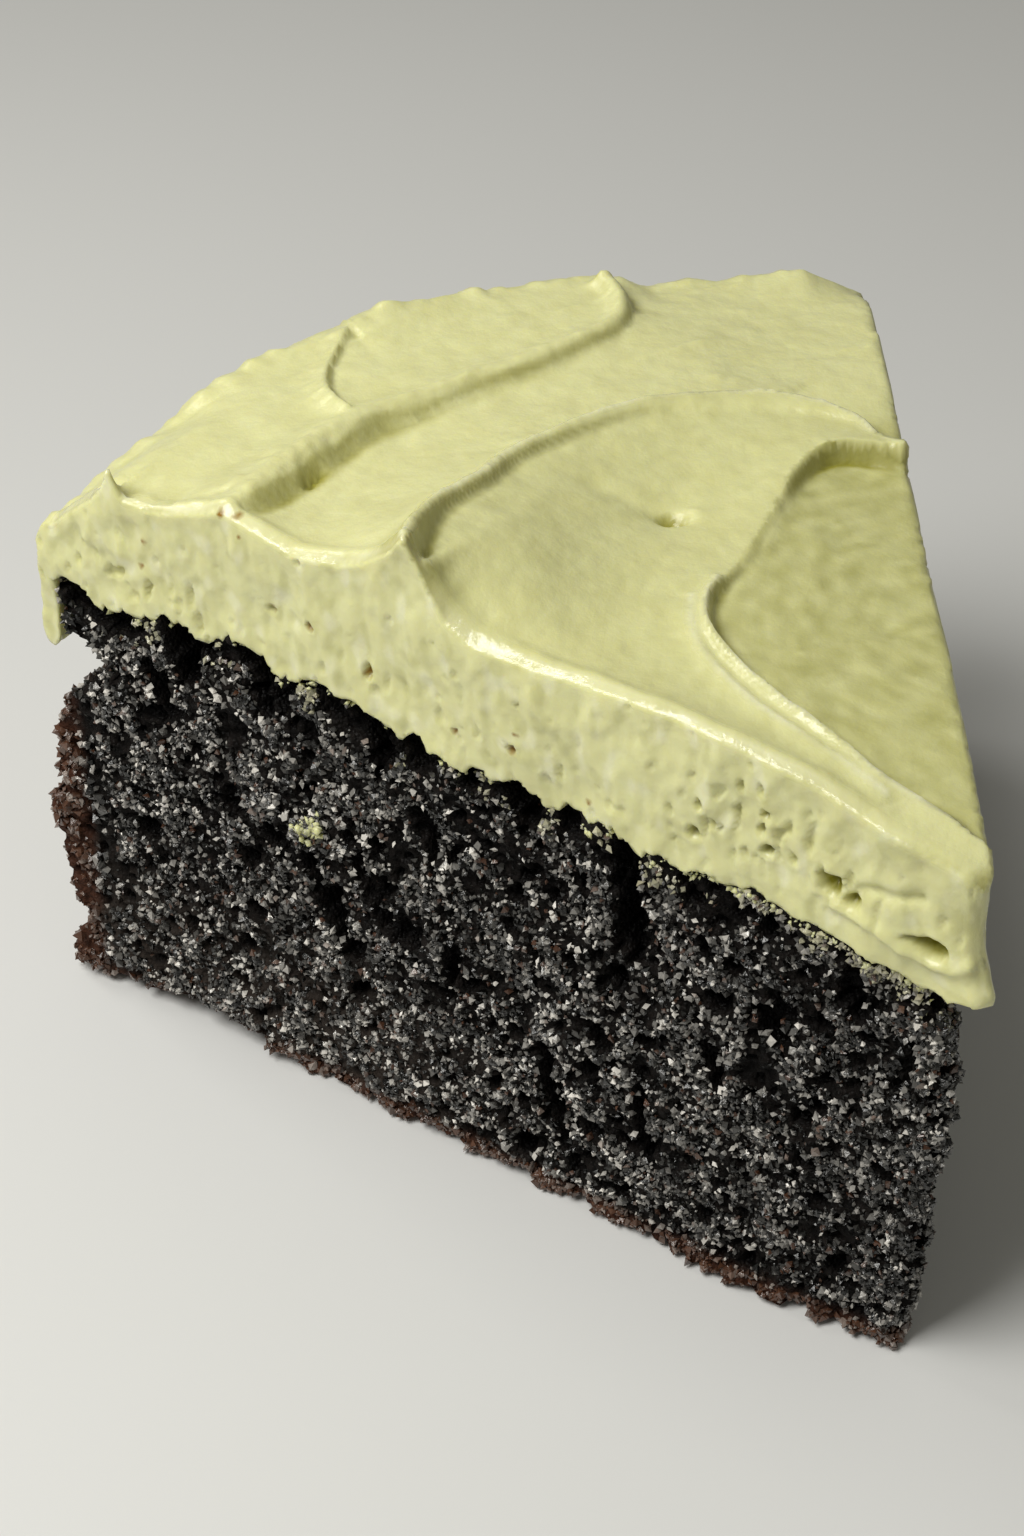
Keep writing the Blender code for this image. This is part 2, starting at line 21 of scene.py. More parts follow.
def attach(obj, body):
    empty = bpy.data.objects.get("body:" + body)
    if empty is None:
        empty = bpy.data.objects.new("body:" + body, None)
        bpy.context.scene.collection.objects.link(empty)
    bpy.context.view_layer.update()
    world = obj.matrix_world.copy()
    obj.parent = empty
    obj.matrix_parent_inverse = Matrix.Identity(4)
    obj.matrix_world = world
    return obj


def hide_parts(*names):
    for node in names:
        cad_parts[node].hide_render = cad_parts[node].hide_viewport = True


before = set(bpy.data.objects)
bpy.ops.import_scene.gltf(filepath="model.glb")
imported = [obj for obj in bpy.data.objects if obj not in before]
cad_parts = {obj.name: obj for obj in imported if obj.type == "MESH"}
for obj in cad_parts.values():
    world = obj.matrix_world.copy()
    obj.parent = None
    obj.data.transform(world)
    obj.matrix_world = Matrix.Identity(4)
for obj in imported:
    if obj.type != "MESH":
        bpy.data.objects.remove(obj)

LOG = logging.getLogger("cake_slice")

MM = 0.001
# Where the wedge's tip stands in the frame, in millimetres
TIP = Vector((0.218, -51.455, 0.0))
TIN_RADIUS = 100.0
HALF_ANGLE = 28.5
LEDGE_RADIUS = 99.7
SIDE_GAP = 0.5

Rows = list[tuple[float, ...]]
Triple = tuple[float, float, float]


class Patch(Enum):
    """Which part of a solid's skin a corner point lies on."""

    TOP = 0
    LEFT_CUT = 1
    RIGHT_CUT = 2
    RIM = 3
    UNDER = 4
    BASE = 5


def ripple(points: np.ndarray, size: float, shift: float = 0.0) -> np.ndarray:
    """Smooth noise from about -1 to 1 at each point.

    Args:
        points: corner points, one row each.
        size: width of a bump, in the points' units.
        shift: moves the pattern, so that two of one size differ.

    Returns:
        One value for each point.
    """
    return np.array([noise(Vector(row)) for row in points / size + shift])


def cells(points: np.ndarray, size: float, shift: float = 0.0
          ) -> tuple[np.ndarray, np.ndarray, np.ndarray]:
    """Nearest cells of a scattered pattern.

    Args:
        points: corner points, one row each.
        size: mean spacing of the cells' centres.
        shift: moves the pattern, so that two of one size differ.

    Returns:
        Distance to the nearest centre, distance to the second nearest, and a random value from 0 to
        1 for the nearest cell, where distances are shares of size.
    """
    near, second, draw = [], [], []
    for row in points / size + shift:
        distances, centres = voronoi(Vector(row))
        near.append(distances[0])
        second.append(distances[1])
        draw.append(sin(centres[0].x * 127.1 + centres[0].y * 311.7 + centres[0].z * 74.7) * 43758.5453)
    return np.array(near), np.array(second), np.array(draw) % 1.0


def smoothstep(value: np.ndarray) -> np.ndarray:
    """Eases a value from 0 to 1 in between 0 and 1."""
    held = np.clip(value, 0.0, 1.0)
    return held * held * (3 - 2 * held)


def bell(value: np.ndarray, width: float, power: float = 2) -> np.ndarray:
    """A hump of height 1 around zero, down to 0.37 at the given width."""
    return np.exp(-(value / width) ** power)


def pattern(first: np.ndarray, second: np.ndarray, third: float | np.ndarray) -> np.ndarray:
    """Points of a noise pattern, one row each, where the third number may be one for all."""
    return np.column_stack([first, second, np.broadcast_to(third, first.shape)])


def cut_point(distance: float, side: int = -1) -> tuple[float, float]:
    """Plan position on the left (-1) or right (1) cut, by distance from the tip."""
    half = radians(HALF_ANGLE)
    return side * distance * sin(half), distance * cos(half)


def rim_point(radius: float, angle: float) -> tuple[float, float]:
    """Plan position by radius and by degrees from the middle, left positive."""
    turn = radians(angle)
    return -radius * sin(turn), radius * cos(turn)


def outward_of(side: int) -> np.ndarray:
    """The direction straight out of the left (-1) or right (1) cut."""
    half = radians(HALF_ANGLE)
    return np.array([side * cos(half), -sin(half), 0.0])


def depth_behind(plan: np.ndarray, side: int) -> np.ndarray:
    """How far each plan position lies behind the left (-1) or right (1) cut."""
    half = radians(HALF_ANGLE)
    return -side * plan[:, 0] * cos(half) + plan[:, 1] * sin(half)


def distance_along(plan: np.ndarray, side: int) -> np.ndarray:
    """How far each plan position lies along the left (-1) or right (1) cut, from the tip."""
    half = radians(HALF_ANGLE)
    return side * plan[:, 0] * sin(half) + plan[:, 1] * cos(half)


def inset(plan: np.ndarray) -> np.ndarray:
    """How far each plan position lies behind the nearer cut."""
    half = radians(HALF_ANGLE)
    return plan[:, 1] * sin(half) - np.abs(plan[:, 0]) * cos(half)


def smooth_path(points: Rows, step: float) -> np.ndarray:
    """Catmull-Rom curve through points.

    Args:
        points: rows of numbers, of which the curve passes through each.
        step: spacing of the rows read from the curve.

    Returns:
        The rows read along the curve.
    """
    rows = np.array(points, dtype=float)
    rows = np.vstack([2 * rows[0] - rows[1], rows, 2 * rows[-1] - rows[-2]])
    path = []
    for a, b, c, d in zip(rows, rows[1:], rows[2:], rows[3:]):
        count = max(2, int(np.linalg.norm(c - b) / step))
        for t in np.arange(count) / count:
            path.append(0.5 * (2 * b + (c - a) * t + (2 * a - 5 * b + 4 * c - d) * t ** 2
                               + (3 * b - a - 3 * c + d) * t ** 3))
    path.append(rows[-2])
    return np.array(path)


def table(rows: Rows, value: np.ndarray) -> np.ndarray:
    """Straight-line reading of a two-column table, given in rising order."""
    return np.interp(value, [row[0] for row in rows], [row[1] for row in rows])


def enclosed(points: np.ndarray, polygon: np.ndarray) -> np.ndarray:
    """Whether each plan position lies inside a polygon.

    Args:
        points: plan positions, one row each.
        polygon: the polygon's corners, one row each.

    Returns:
        True or false for each position.
    """
    follow = np.roll(polygon, -1, axis=0)
    edge = follow - polygon
    rise = np.where(edge[:, 1] == 0, 1e-9, edge[:, 1])
    inside = []
    for part in np.array_split(points, max(1, len(points) * len(polygon) // 2000000)):
        crosses = (polygon[None, :, 1] > part[:, 1:]) != (follow[None, :, 1] > part[:, 1:])
        meet = polygon[:, 0] + (part[:, 1:] - polygon[:, 1]) / rise * edge[:, 0]
        inside.append((crosses & (part[:, :1] < meet)).sum(axis=1) % 2 == 1)
    return np.concatenate(inside)


def nearest_gap(points: np.ndarray, spots: np.ndarray) -> np.ndarray:
    """Distance from each point to the nearest spot.

    Args:
        points: one row each.
        spots: one row each.

    Returns:
        One distance for each point.
    """
    parts = np.array_split(points, max(1, len(points) * len(spots) // 2000000))
    return np.concatenate([np.sqrt(((part[:, None, :] - spots[None]) ** 2).sum(axis=2).min(axis=1))
                           for part in parts])


def spaced(points: np.ndarray, least: float) -> np.ndarray:
    """Thins points out.

    Args:
        points: one row each.
        least: the least distance from a kept point to an earlier one.

    Returns:
        The kept points.
    """
    kept: list[np.ndarray] = []
    for point in points:
        if not kept or np.min(((np.array(kept) - point) ** 2).sum(axis=1)) > least ** 2:
            kept.append(point)
    return np.array(kept)


def from_line(points: np.ndarray, start: tuple[float, float], end: tuple[float, float]) -> np.ndarray:
    """Distance from points of a plane to a straight line.

    Args:
        points: one row each.
        start: where the line starts.
        end: where it ends.

    Returns:
        One distance for each point.
    """
    a, b = np.array(start), np.array(end)
    share = np.clip((points - a) @ (b - a) / ((b - a) @ (b - a)), 0, 1)
    return np.linalg.norm(points - a - share[:, None] * (b - a), axis=1)


@dataclass(frozen=True)
class Ridge:
    """One crest that the spatula left.

    Crest rows hold x, y, height, and how steeply the surface falls on the left and on the right of
    the crest's direction. A rolled ridge is round like a rope on its right, by the given depth, and
    there its rows hold the roll's width instead.
    """

    name: str
    crest: Rows
    lean: float = 0.0
    rolled: float = 0.0

    def path(self, step: float = 0.4) -> np.ndarray:
        """The crest as a smooth curve."""
        return smooth_path(self.crest, step)


@dataclass(frozen=True)
class Swirl:
    """The spread top of the frosting, as a height for each plan position, in millimetres.

    Floors are places with the height of the swept surface there, kept apart for the low side right of
    the curled lip. Edge tables hold height by distance from the tip, and by degrees from the middle.
    """

    floor_reach: float = 5.0
    deepest: float = 57.0
    crest_radius: float = 0.35
    blend: float = 0.3
    left_reach: float = 5.0
    rim_reach: float = 4.5
    lip_inset: float = 1.3
    lip_rise: float = 0.35
    dimple_at: tuple[float, float] = (3.1, 54.3)
    dimple_tail: tuple[float, float] = (5.6, 52.5)
    dimple_trail: tuple[float, float] = (-2.0, 61.0)
    nick: tuple[tuple[float, float], tuple[float, float]] = ((-26.7, 72.0), (-24.6, 73.6))
    # Where the crown ridge turns down the low side, and the low side's outline outside the slice
    crown_turn: float = 22.0
    beyond: tuple[tuple[float, float], ...] = ((3.0, -6.0), (90.0, 50.0), (60.0, 90.0), (36.0, 72.0))
    back_stroke: Rows = field(default_factory=lambda: [
        (-70, 58), (-38, 70), (-23, 78), (-4, 83), (10, 85), (24, 86), (42, 82), (70, 70)])
    spoon_stroke: Rows = field(default_factory=lambda: [
        (-60, 10), (-32, 44), (-25.5, 52.6), (-19, 59), (-7, 66.6), (10, 71), (22, 67), (27, 58.5),
        (27, 45), (24, 10)])
    front_stroke: Rows = field(default_factory=lambda: [
        (44, 76), (26, 56), (14, 53), (4, 45), (-4.5, 34), (-4, 24), (0, 10), (7, -12)])
    floors: Rows = field(default_factory=lambda: [
        (-38, 80, 67.4), (-31, 82, 67.7), (-24, 84.5, 67.9), (-31, 87, 66.6), (-22, 91, 66.8),
        (-8, 88, 67.3), (-6, 94, 66.8), (6, 90, 67.2), (8, 95, 66.9), (14, 91, 67.2),
        (-33, 64, 68.0), (-27, 69, 67.4), (-22, 72, 67.0), (-12, 76, 66.7), (4, 78.5, 66.4),
        (-18, 66, 67.4), (-6, 72, 66.9), (6, 74.5, 66.5), (16, 76, 66.0),
        (18, 81, 66.2), (30, 76, 64.9), (38, 74, 64.2), (36, 88, 64.6), (26, 90, 65.2),
        (36, 72, 64.7), (29, 70, 65.1), (40, 80, 64.2),
        (-21.5, 54, 72.0), (-18, 57.5, 71.1), (-22.5, 50.5, 71.3), (-19, 48, 68.6),
        (-13, 60.5, 69.8), (-7, 64.8, 68.5), (0, 67.8, 67.5), (8, 68.9, 66.9), (16, 66.5, 66.3),
        (21, 62, 66.3), (24, 58.5, 66.6), (-15, 53, 68.2), (-8, 57, 66.9), (0, 60, 65.9),
        (3, 54, 64.4), (9, 60, 65.4), (10, 54, 65.0), (15, 58.5, 65.9), (-4, 50, 65.2),
        (4, 48, 64.9), (-12, 44, 65.4), (-3, 44, 65.2), (-14, 33, 65.0), (-10, 38, 64.8),
        (-9, 28, 64.7), (-8, 20, 64.3), (-4, 10, 63.0)])
    low_floors: Rows = field(default_factory=lambda: [
        (10, 46.5, 65.0), (15, 51, 65.2), (20, 53, 65.0), (24, 50, 64.1), (8, 40, 64.5), (18, 42, 63.6),
        (4, 34, 64.3), (12, 33, 63.3), (5, 26, 63.9), (10, 22, 62.9), (4, 16, 63.2),
        (3, 8, 61.3), (24, 46, 63.1), (29, 54, 63.6), (31, 60, 64.3), (33, 66, 64.6), (29, 70, 65.1),
        (36, 72, 64.7)])
    left_edge: Rows = field(default_factory=lambda: [
        (0, 59.6), (3.7, 61.3), (7.4, 62.5), (12.1, 63.6), (16.9, 64.7), (24, 65.8), (31.5, 66.1),
        (40, 65.7), (46.8, 65.6), (50, 66.0), (52.6, 67.3), (54.7, 69.6), (56.1, 72.3),
        (57.3, 74.4), (59, 72.1), (61.8, 70.0), (64.6, 68.7), (70, 68.1), (73.7, 69.0),
        (78.3, 69.6), (82.6, 68.1), (86.4, 67.2), (89.6, 67.4), (91.3, 70.4), (92.1, 68.0),
        (94.0, 65.8), (97.7, 62.8), (99.7, 60.8)])
    rim_edge: Rows = field(default_factory=lambda: [
        (-28.5, 62.0), (-25, 65.2), (-20, 64.3), (-15, 64.4), (-12, 66.7), (-5, 67.0), (3, 68.3),
        (10, 66.8), (14.5, 66.6), (18, 64.2), (24, 62.4), (28.5, 60.8)])
    ridges: tuple[Ridge, ...] = (
        Ridge("back ridge", [
            (-38.2, 70.4, 69.6, 0.5, 2.8), (-33.4, 72.2, 70.0, 0.5, 3.1),
            (-29.5, 74.2, 69.9, 0.6, 3.1), (-23.0, 77.8, 69.5, 0.7, 3.0),
            (-16.8, 80.7, 69.1, 0.8, 2.8), (-11.2, 81.4, 68.6, 0.8, 2.6),
            (-3.8, 82.9, 68.3, 0.7, 2.4), (3.9, 84.0, 68.1, 0.7, 2.2),
            (10.0, 85.3, 68.0, 0.8, 2.1), (15.2, 86.9, 67.8, 1.0, 2.0),
            (18.2, 90.4, 68.2, 1.2, 1.9), (19.0, 94.8, 68.2, 1.4, 1.8)], 0.3, 3.0),
        Ridge("divider", [
            (-18.2, 82.2, 68.9, 1.2, 1.4), (-18.0, 86.6, 68.4, 0.8, 2.4),
            (-16.4, 90.6, 68.0, 0.7, 3.0), (-13.4, 94.6, 67.7, 0.7, 3.0),
            (-9.8, 98.2, 67.4, 0.8, 2.6)], 0.4),
        Ridge("front lip", [
            (-44.9, 85.0, 64.4, 2.0, 2.4), (-44.5, 82.6, 67.0, 3.0, 4.0),
            (-43.5, 80.3, 70.4, 5.0, 5.5), (-42.3, 78.2, 68.0, 2.4, 3.0),
            (-40.2, 74.6, 68.2, 1.2, 2.0)]),
        Ridge("crown ridge", [
            (-27.6, 50.4, 74.4, 2.0, 0.8), (-25.5, 52.6, 73.8, 1.7, 0.8),
            (-23.0, 55.3, 72.8, 1.4, 0.8), (-19.2, 58.9, 71.6, 1.0, 0.8),
            (-13.0, 62.4, 70.2, 0.8, 0.8), (-7.0, 66.6, 69.0, 0.9, 0.9),
            (2.0, 69.8, 68.0, 1.4, 1.2), (10.2, 71.0, 67.4, 2.0, 1.6),
            (17.4, 69.3, 67.0, 2.6, 2.6), (22.2, 66.9, 67.0, 2.4, 2.6),
            (25.6, 62.9, 67.1, 2.0, 1.8), (27.1, 58.9, 67.0, 1.8, 0.8),
            (27.2, 56.4, 66.7, 1.8, 0.4)], -0.2, 1.0),
        Ridge("curled lip", [
            (30.0, 51.2, 63.9, 0.5, 0.8), (27.6, 53.2, 65.1, 1.9, 0.8), (26.2, 54.8, 66.4, 4.5, 0.8),
            (24.0, 56.1, 66.8, 5.5, 0.3), (21.4, 56.2, 66.8, 5.5, 0.3),
            (18.4, 55.2, 66.4, 3.0, 0.2), (15.6, 53.5, 66.0, 1.5, 0.2),
            (12.4, 50.9, 65.6, 0.8, 0.2), (9.5, 48.4, 65.3, 0.7, 0.2),
            (3.9, 44.2, 65.1, 1.6, 0.3), (0.9, 42.4, 65.5, 3.4, 0.5)], -0.5),
        Ridge("bead", [
            (0.8, 42.8, 65.8, 4.2, 1.0), (-2.0, 39.5, 66.1, 4.6, 1.2), (-3.8, 35.9, 66.2, 4.6, 1.3),
            (-4.5, 29.9, 66.1, 4.4, 1.3), (-3.9, 23.8, 65.8, 4.0, 1.3), (-2.6, 18.3, 65.2, 3.6, 1.2),
            (-1.5, 12.9, 64.3, 3.2, 0.8), (-0.2, 9.9, 63.7, 3.0, 0.9), (1.2, 7.0, 62.8, 2.6, 1.0),
            (1.9, 4.4, 61.6, 2.4, 1.2)]),
        Ridge("bead shoulder", [
            (-2.4, 41.4, 65.1, 1.0, 0.5), (-4.3, 38.4, 65.5, 1.0, 0.6), (-5.7, 35.2, 65.6, 1.0, 0.7),
            (-6.4, 30.2, 65.5, 1.0, 0.7), (-6.1, 24.7, 65.2, 1.0, 0.7), (-4.8, 19.6, 64.8, 1.0, 0.7),
            (-3.3, 14.6, 64.1, 1.0, 0.7), (-2.2, 11.0, 63.4, 1.0, 0.7)]),
    )

    def fall(self, distance: np.ndarray, crest: np.ndarray, slope: np.ndarray) -> np.ndarray:
        """How far the surface lies below a crest.

        Args:
            distance: distances from the crest.
            crest: height of the crest there.
            slope: how steeply the surface falls there.

        Returns:
            One depth for each distance.
        """
        rounded = np.sqrt(distance ** 2 + self.crest_radius ** 2) - self.crest_radius
        depth = crest - self.deepest
        return depth * (1 - np.exp(-rounded * slope / depth))

    def nearest(self, plan: np.ndarray, path: np.ndarray) -> tuple[np.ndarray, np.ndarray, np.ndarray]:
        """Place of plan positions beside a crest.

        Args:
            plan: plan positions, one row each.
            path: the crest's curve.

        Returns:
            Distance to the crest, signed distance with the left side positive, and the number of the
            nearest row of the curve.
        """
        tangent = np.gradient(path[:, :2], axis=0)
        tangent /= np.linalg.norm(tangent, axis=1)[:, None]
        distance, side, index = [], [], []
        for part in np.array_split(plan, max(1, len(plan) // 4000)):
            squared = ((part[:, None, :] - path[None, :, :2]) ** 2).sum(axis=2)
            best = squared.argmin(axis=1)
            offset = part - path[best, :2]
            along = (tangent[best] * offset).sum(axis=1)
            across = tangent[best, 0] * offset[:, 1] - tangent[best, 1] * offset[:, 0]
            straight = np.sqrt(squared.min(axis=1))
            distance.append(np.where(np.abs(along) > 0.5, straight, np.abs(across)))
            side.append(across)
            index.append(best)
        return np.concatenate(distance), np.concatenate(side), np.concatenate(index)

    def ridge(self, name: str) -> Ridge:
        """The ridge of that name."""
        return next(ridge for ridge in self.ridges if ridge.name == name)

    def beyond_lip(self, plan: np.ndarray) -> np.ndarray:
        """The low side of the top, right of the curled lip and the bead.

        Args:
            plan: plan positions, one row each.

        Returns:
            Whether each position lies there.
        """
        crown, lip, bead = (self.ridge(name).path()[:, :2]
                            for name in ("crown ridge", "curled lip", "bead"))
        return enclosed(plan, np.vstack([crown[crown[:, 0] > self.crown_turn], lip, bead,
                                         self.beyond]))

    def floor(self, plan: np.ndarray) -> np.ndarray:
        """Height of the smooth floors, blended from the nearest ones on the same side of the lip.

        Args:
            plan: plan positions, one row each.

        Returns:
            One height for each position.
        """
        low = self.beyond_lip(plan)
        height = np.zeros(len(plan))
        for chosen, rows in ((low, self.low_floors), (~low, self.floors)):
            spots = np.array(rows, dtype=float)
            squared = ((plan[chosen][:, None, :] - spots[None, :, :2]) ** 2).sum(axis=2)
            nearest = squared.min(axis=1, keepdims=True)
            weight = np.exp(-(squared - nearest) / (2 * self.floor_reach ** 2))
            height[chosen] = (weight * spots[:, 2]).sum(axis=1) / weight.sum(axis=1)
        return height

    def spread(self, plan: np.ndarray) -> np.ndarray:
        """Height of the spread frosting before it is trimmed to its edges.

        Args:
            plan: plan positions, one row each.

        Returns:
            One height for each position.
        """
        layers = [self.floor(plan)]
        for ridge in self.ridges:
            path = ridge.path()
            distance, side, index = self.nearest(plan, path)
            height = path[index, 2]
            left = self.fall(distance, height, path[index, 3])
            right = self.fall(distance, height, path[index, 4])
            if ridge.rolled:
                share = np.minimum(distance / path[index, 4], 1)
                right = ridge.rolled * (1 - np.sqrt(1 - 0.97 * share ** 2))
                right += 3 * np.maximum(distance - path[index, 4], 0)
            layers.append(height - np.where(side > 0, left, right))
        stack = np.array(layers) / self.blend
        highest = stack.max(axis=0)
        return self.blend * (highest + np.log(np.exp(stack - highest).sum(axis=0)))

    def height(self, plan: np.ndarray) -> np.ndarray:
        """Height of the frosting, with its left and outer edges as they were cut and rolled over.

        Args:
            plan: plan positions, one row each.

        Returns:
            One height for each position.
        """
        height = self.spread(plan)
        reach, along = np.hypot(*plan.T), distance_along(plan, -1)
        inside = depth_behind(plan, -1)
        share = bell(np.maximum(inside, 0), self.left_reach, 1.5)
        on_edge = np.column_stack(cut_point(along))
        height = height + (table(self.left_edge, along) - self.spread(on_edge)) * share
        angle = np.arctan2(-plan[:, 0], plan[:, 1])
        at_rim = np.stack([-np.sin(angle), np.cos(angle)], axis=1) * (TIN_RADIUS - 1)
        share_rim = bell(np.maximum(TIN_RADIUS - reach, 0), self.rim_reach) * (1 - share)
        height = height + (table(self.rim_edge, np.degrees(angle)) - self.spread(at_rim)) * share_rim
        wet_lip = bell(inside - self.lip_inset, 0.7) * smoothstep((along - 6) / 12)
        return height + self.lip_rise * wet_lip + self.relief(plan)

    def relief(self, plan: np.ndarray) -> np.ndarray:
        """Fine relief of the top: orange peel, drag marks, the dimple, a nick and the rim's ruffles.

        Args:
            plan: plan positions, one row each.

        Returns:
            One height for each position, to add to the swept surface.
        """
        x, y = plan.T
        across, along = self.strokes(plan)
        spots, drawn = pattern(x, y, 0.0), pattern(across, along / 14, 0.0)
        peel = 0.08 * ripple(spots, 1.3) + 0.13 * ripple(spots, 3.3, 4.0) + 0.06 * ripple(drawn, 1.7)
        peel += 0.10 * ripple(spots, 2.1, 7.0) * self.beyond_lip(plan) * smoothstep((66 - y) / 8)
        dragged = bell(x + 9, 10) * bell(y - 71.5, 3.5) + 0.8 * bell(x + 22, 7) * bell(y - 66, 3)
        dragged += 0.7 * bell(x - 22, 9) * bell(y - 80, 4)
        peel += 0.55 * dragged * np.maximum(ripple(drawn, 1.7, 2.0), 0)
        gap = nearest_gap(plan, self.ridge("back ridge").path()[:, :2])
        wrinkled = 0.10 + 0.25 * smoothstep((-14 - x) / 10)
        peel += wrinkled * bell(gap - 1.4, 1.5) * ripple(spots, 1.9, 5.0)
        dashes = np.maximum(ripple(pattern(across, along / 3.5, 0.0), 1.1, 6.0) - 0.1, 0)
        peel += 0.28 * dashes * ~enclosed(plan, smooth_path(self.spoon_stroke, 0.8))
        peel *= 1 - 0.8 * bell(depth_behind(plan, -1), 1.6)
        ruffle = bell(TIN_RADIUS - np.hypot(x, y), 2.0) * np.maximum(ripple(spots, 2.4, 1.0), 0)
        return peel + 0.9 * ruffle + self.dimple(plan) - 0.8 * bell(from_line(plan, *self.nick), 0.4)

    def dimple(self, plan: np.ndarray) -> np.ndarray:
        """The pinched dimple where the spatula lifted off, with its funnel and its little fold.

        Args:
            plan: plan positions, one row each.

        Returns:
            One height for each position, to add to the swept surface.
        """
        centre, tail = np.array(self.dimple_at), np.array(self.dimple_tail)
        way = (tail - centre) / np.linalg.norm(tail - centre)
        offset = plan - centre
        along, across = offset @ way, offset @ np.array([-way[1], way[0]])
        pinch = -1.3 * bell(along - 0.5, 1.5) * bell(across, 0.7)
        funnel = -0.5 * bell(np.linalg.norm(offset, axis=1), 3.5)
        trail = -0.25 * bell(from_line(plan, self.dimple_at, self.dimple_trail), 1.1)
        fold = 0.45 * bell(along - 2.4, 1.2) * bell(across - 1.0, 0.6)
        return pinch + funnel + trail + fold

    def strokes(self, plan: np.ndarray) -> tuple[np.ndarray, np.ndarray]:
        """Where each plan position lies in the spatula's strokes.

        Args:
            plan: plan positions, one row each.

        Returns:
            Distance across the stroke and distance along it, in millimetres.
        """
        spoon = smooth_path(self.spoon_stroke, 0.8)
        low = self.beyond_lip(plan)
        in_spoon = enclosed(plan, spoon) & ~low
        across, along = np.zeros(len(plan)), np.zeros(len(plan))
        for chosen, rows in ((low, self.front_stroke), (in_spoon, self.spoon_stroke),
                             (~low & ~in_spoon, self.back_stroke)):
            path = smooth_path(rows, 0.8)
            travelled = np.concatenate([[0], np.cumsum(np.hypot(*np.diff(path, axis=0).T))])
            distance, side, index = self.nearest(plan[chosen], path)
            across[chosen] = np.sign(side) * distance
            along[chosen] = travelled[index]
        return across, along


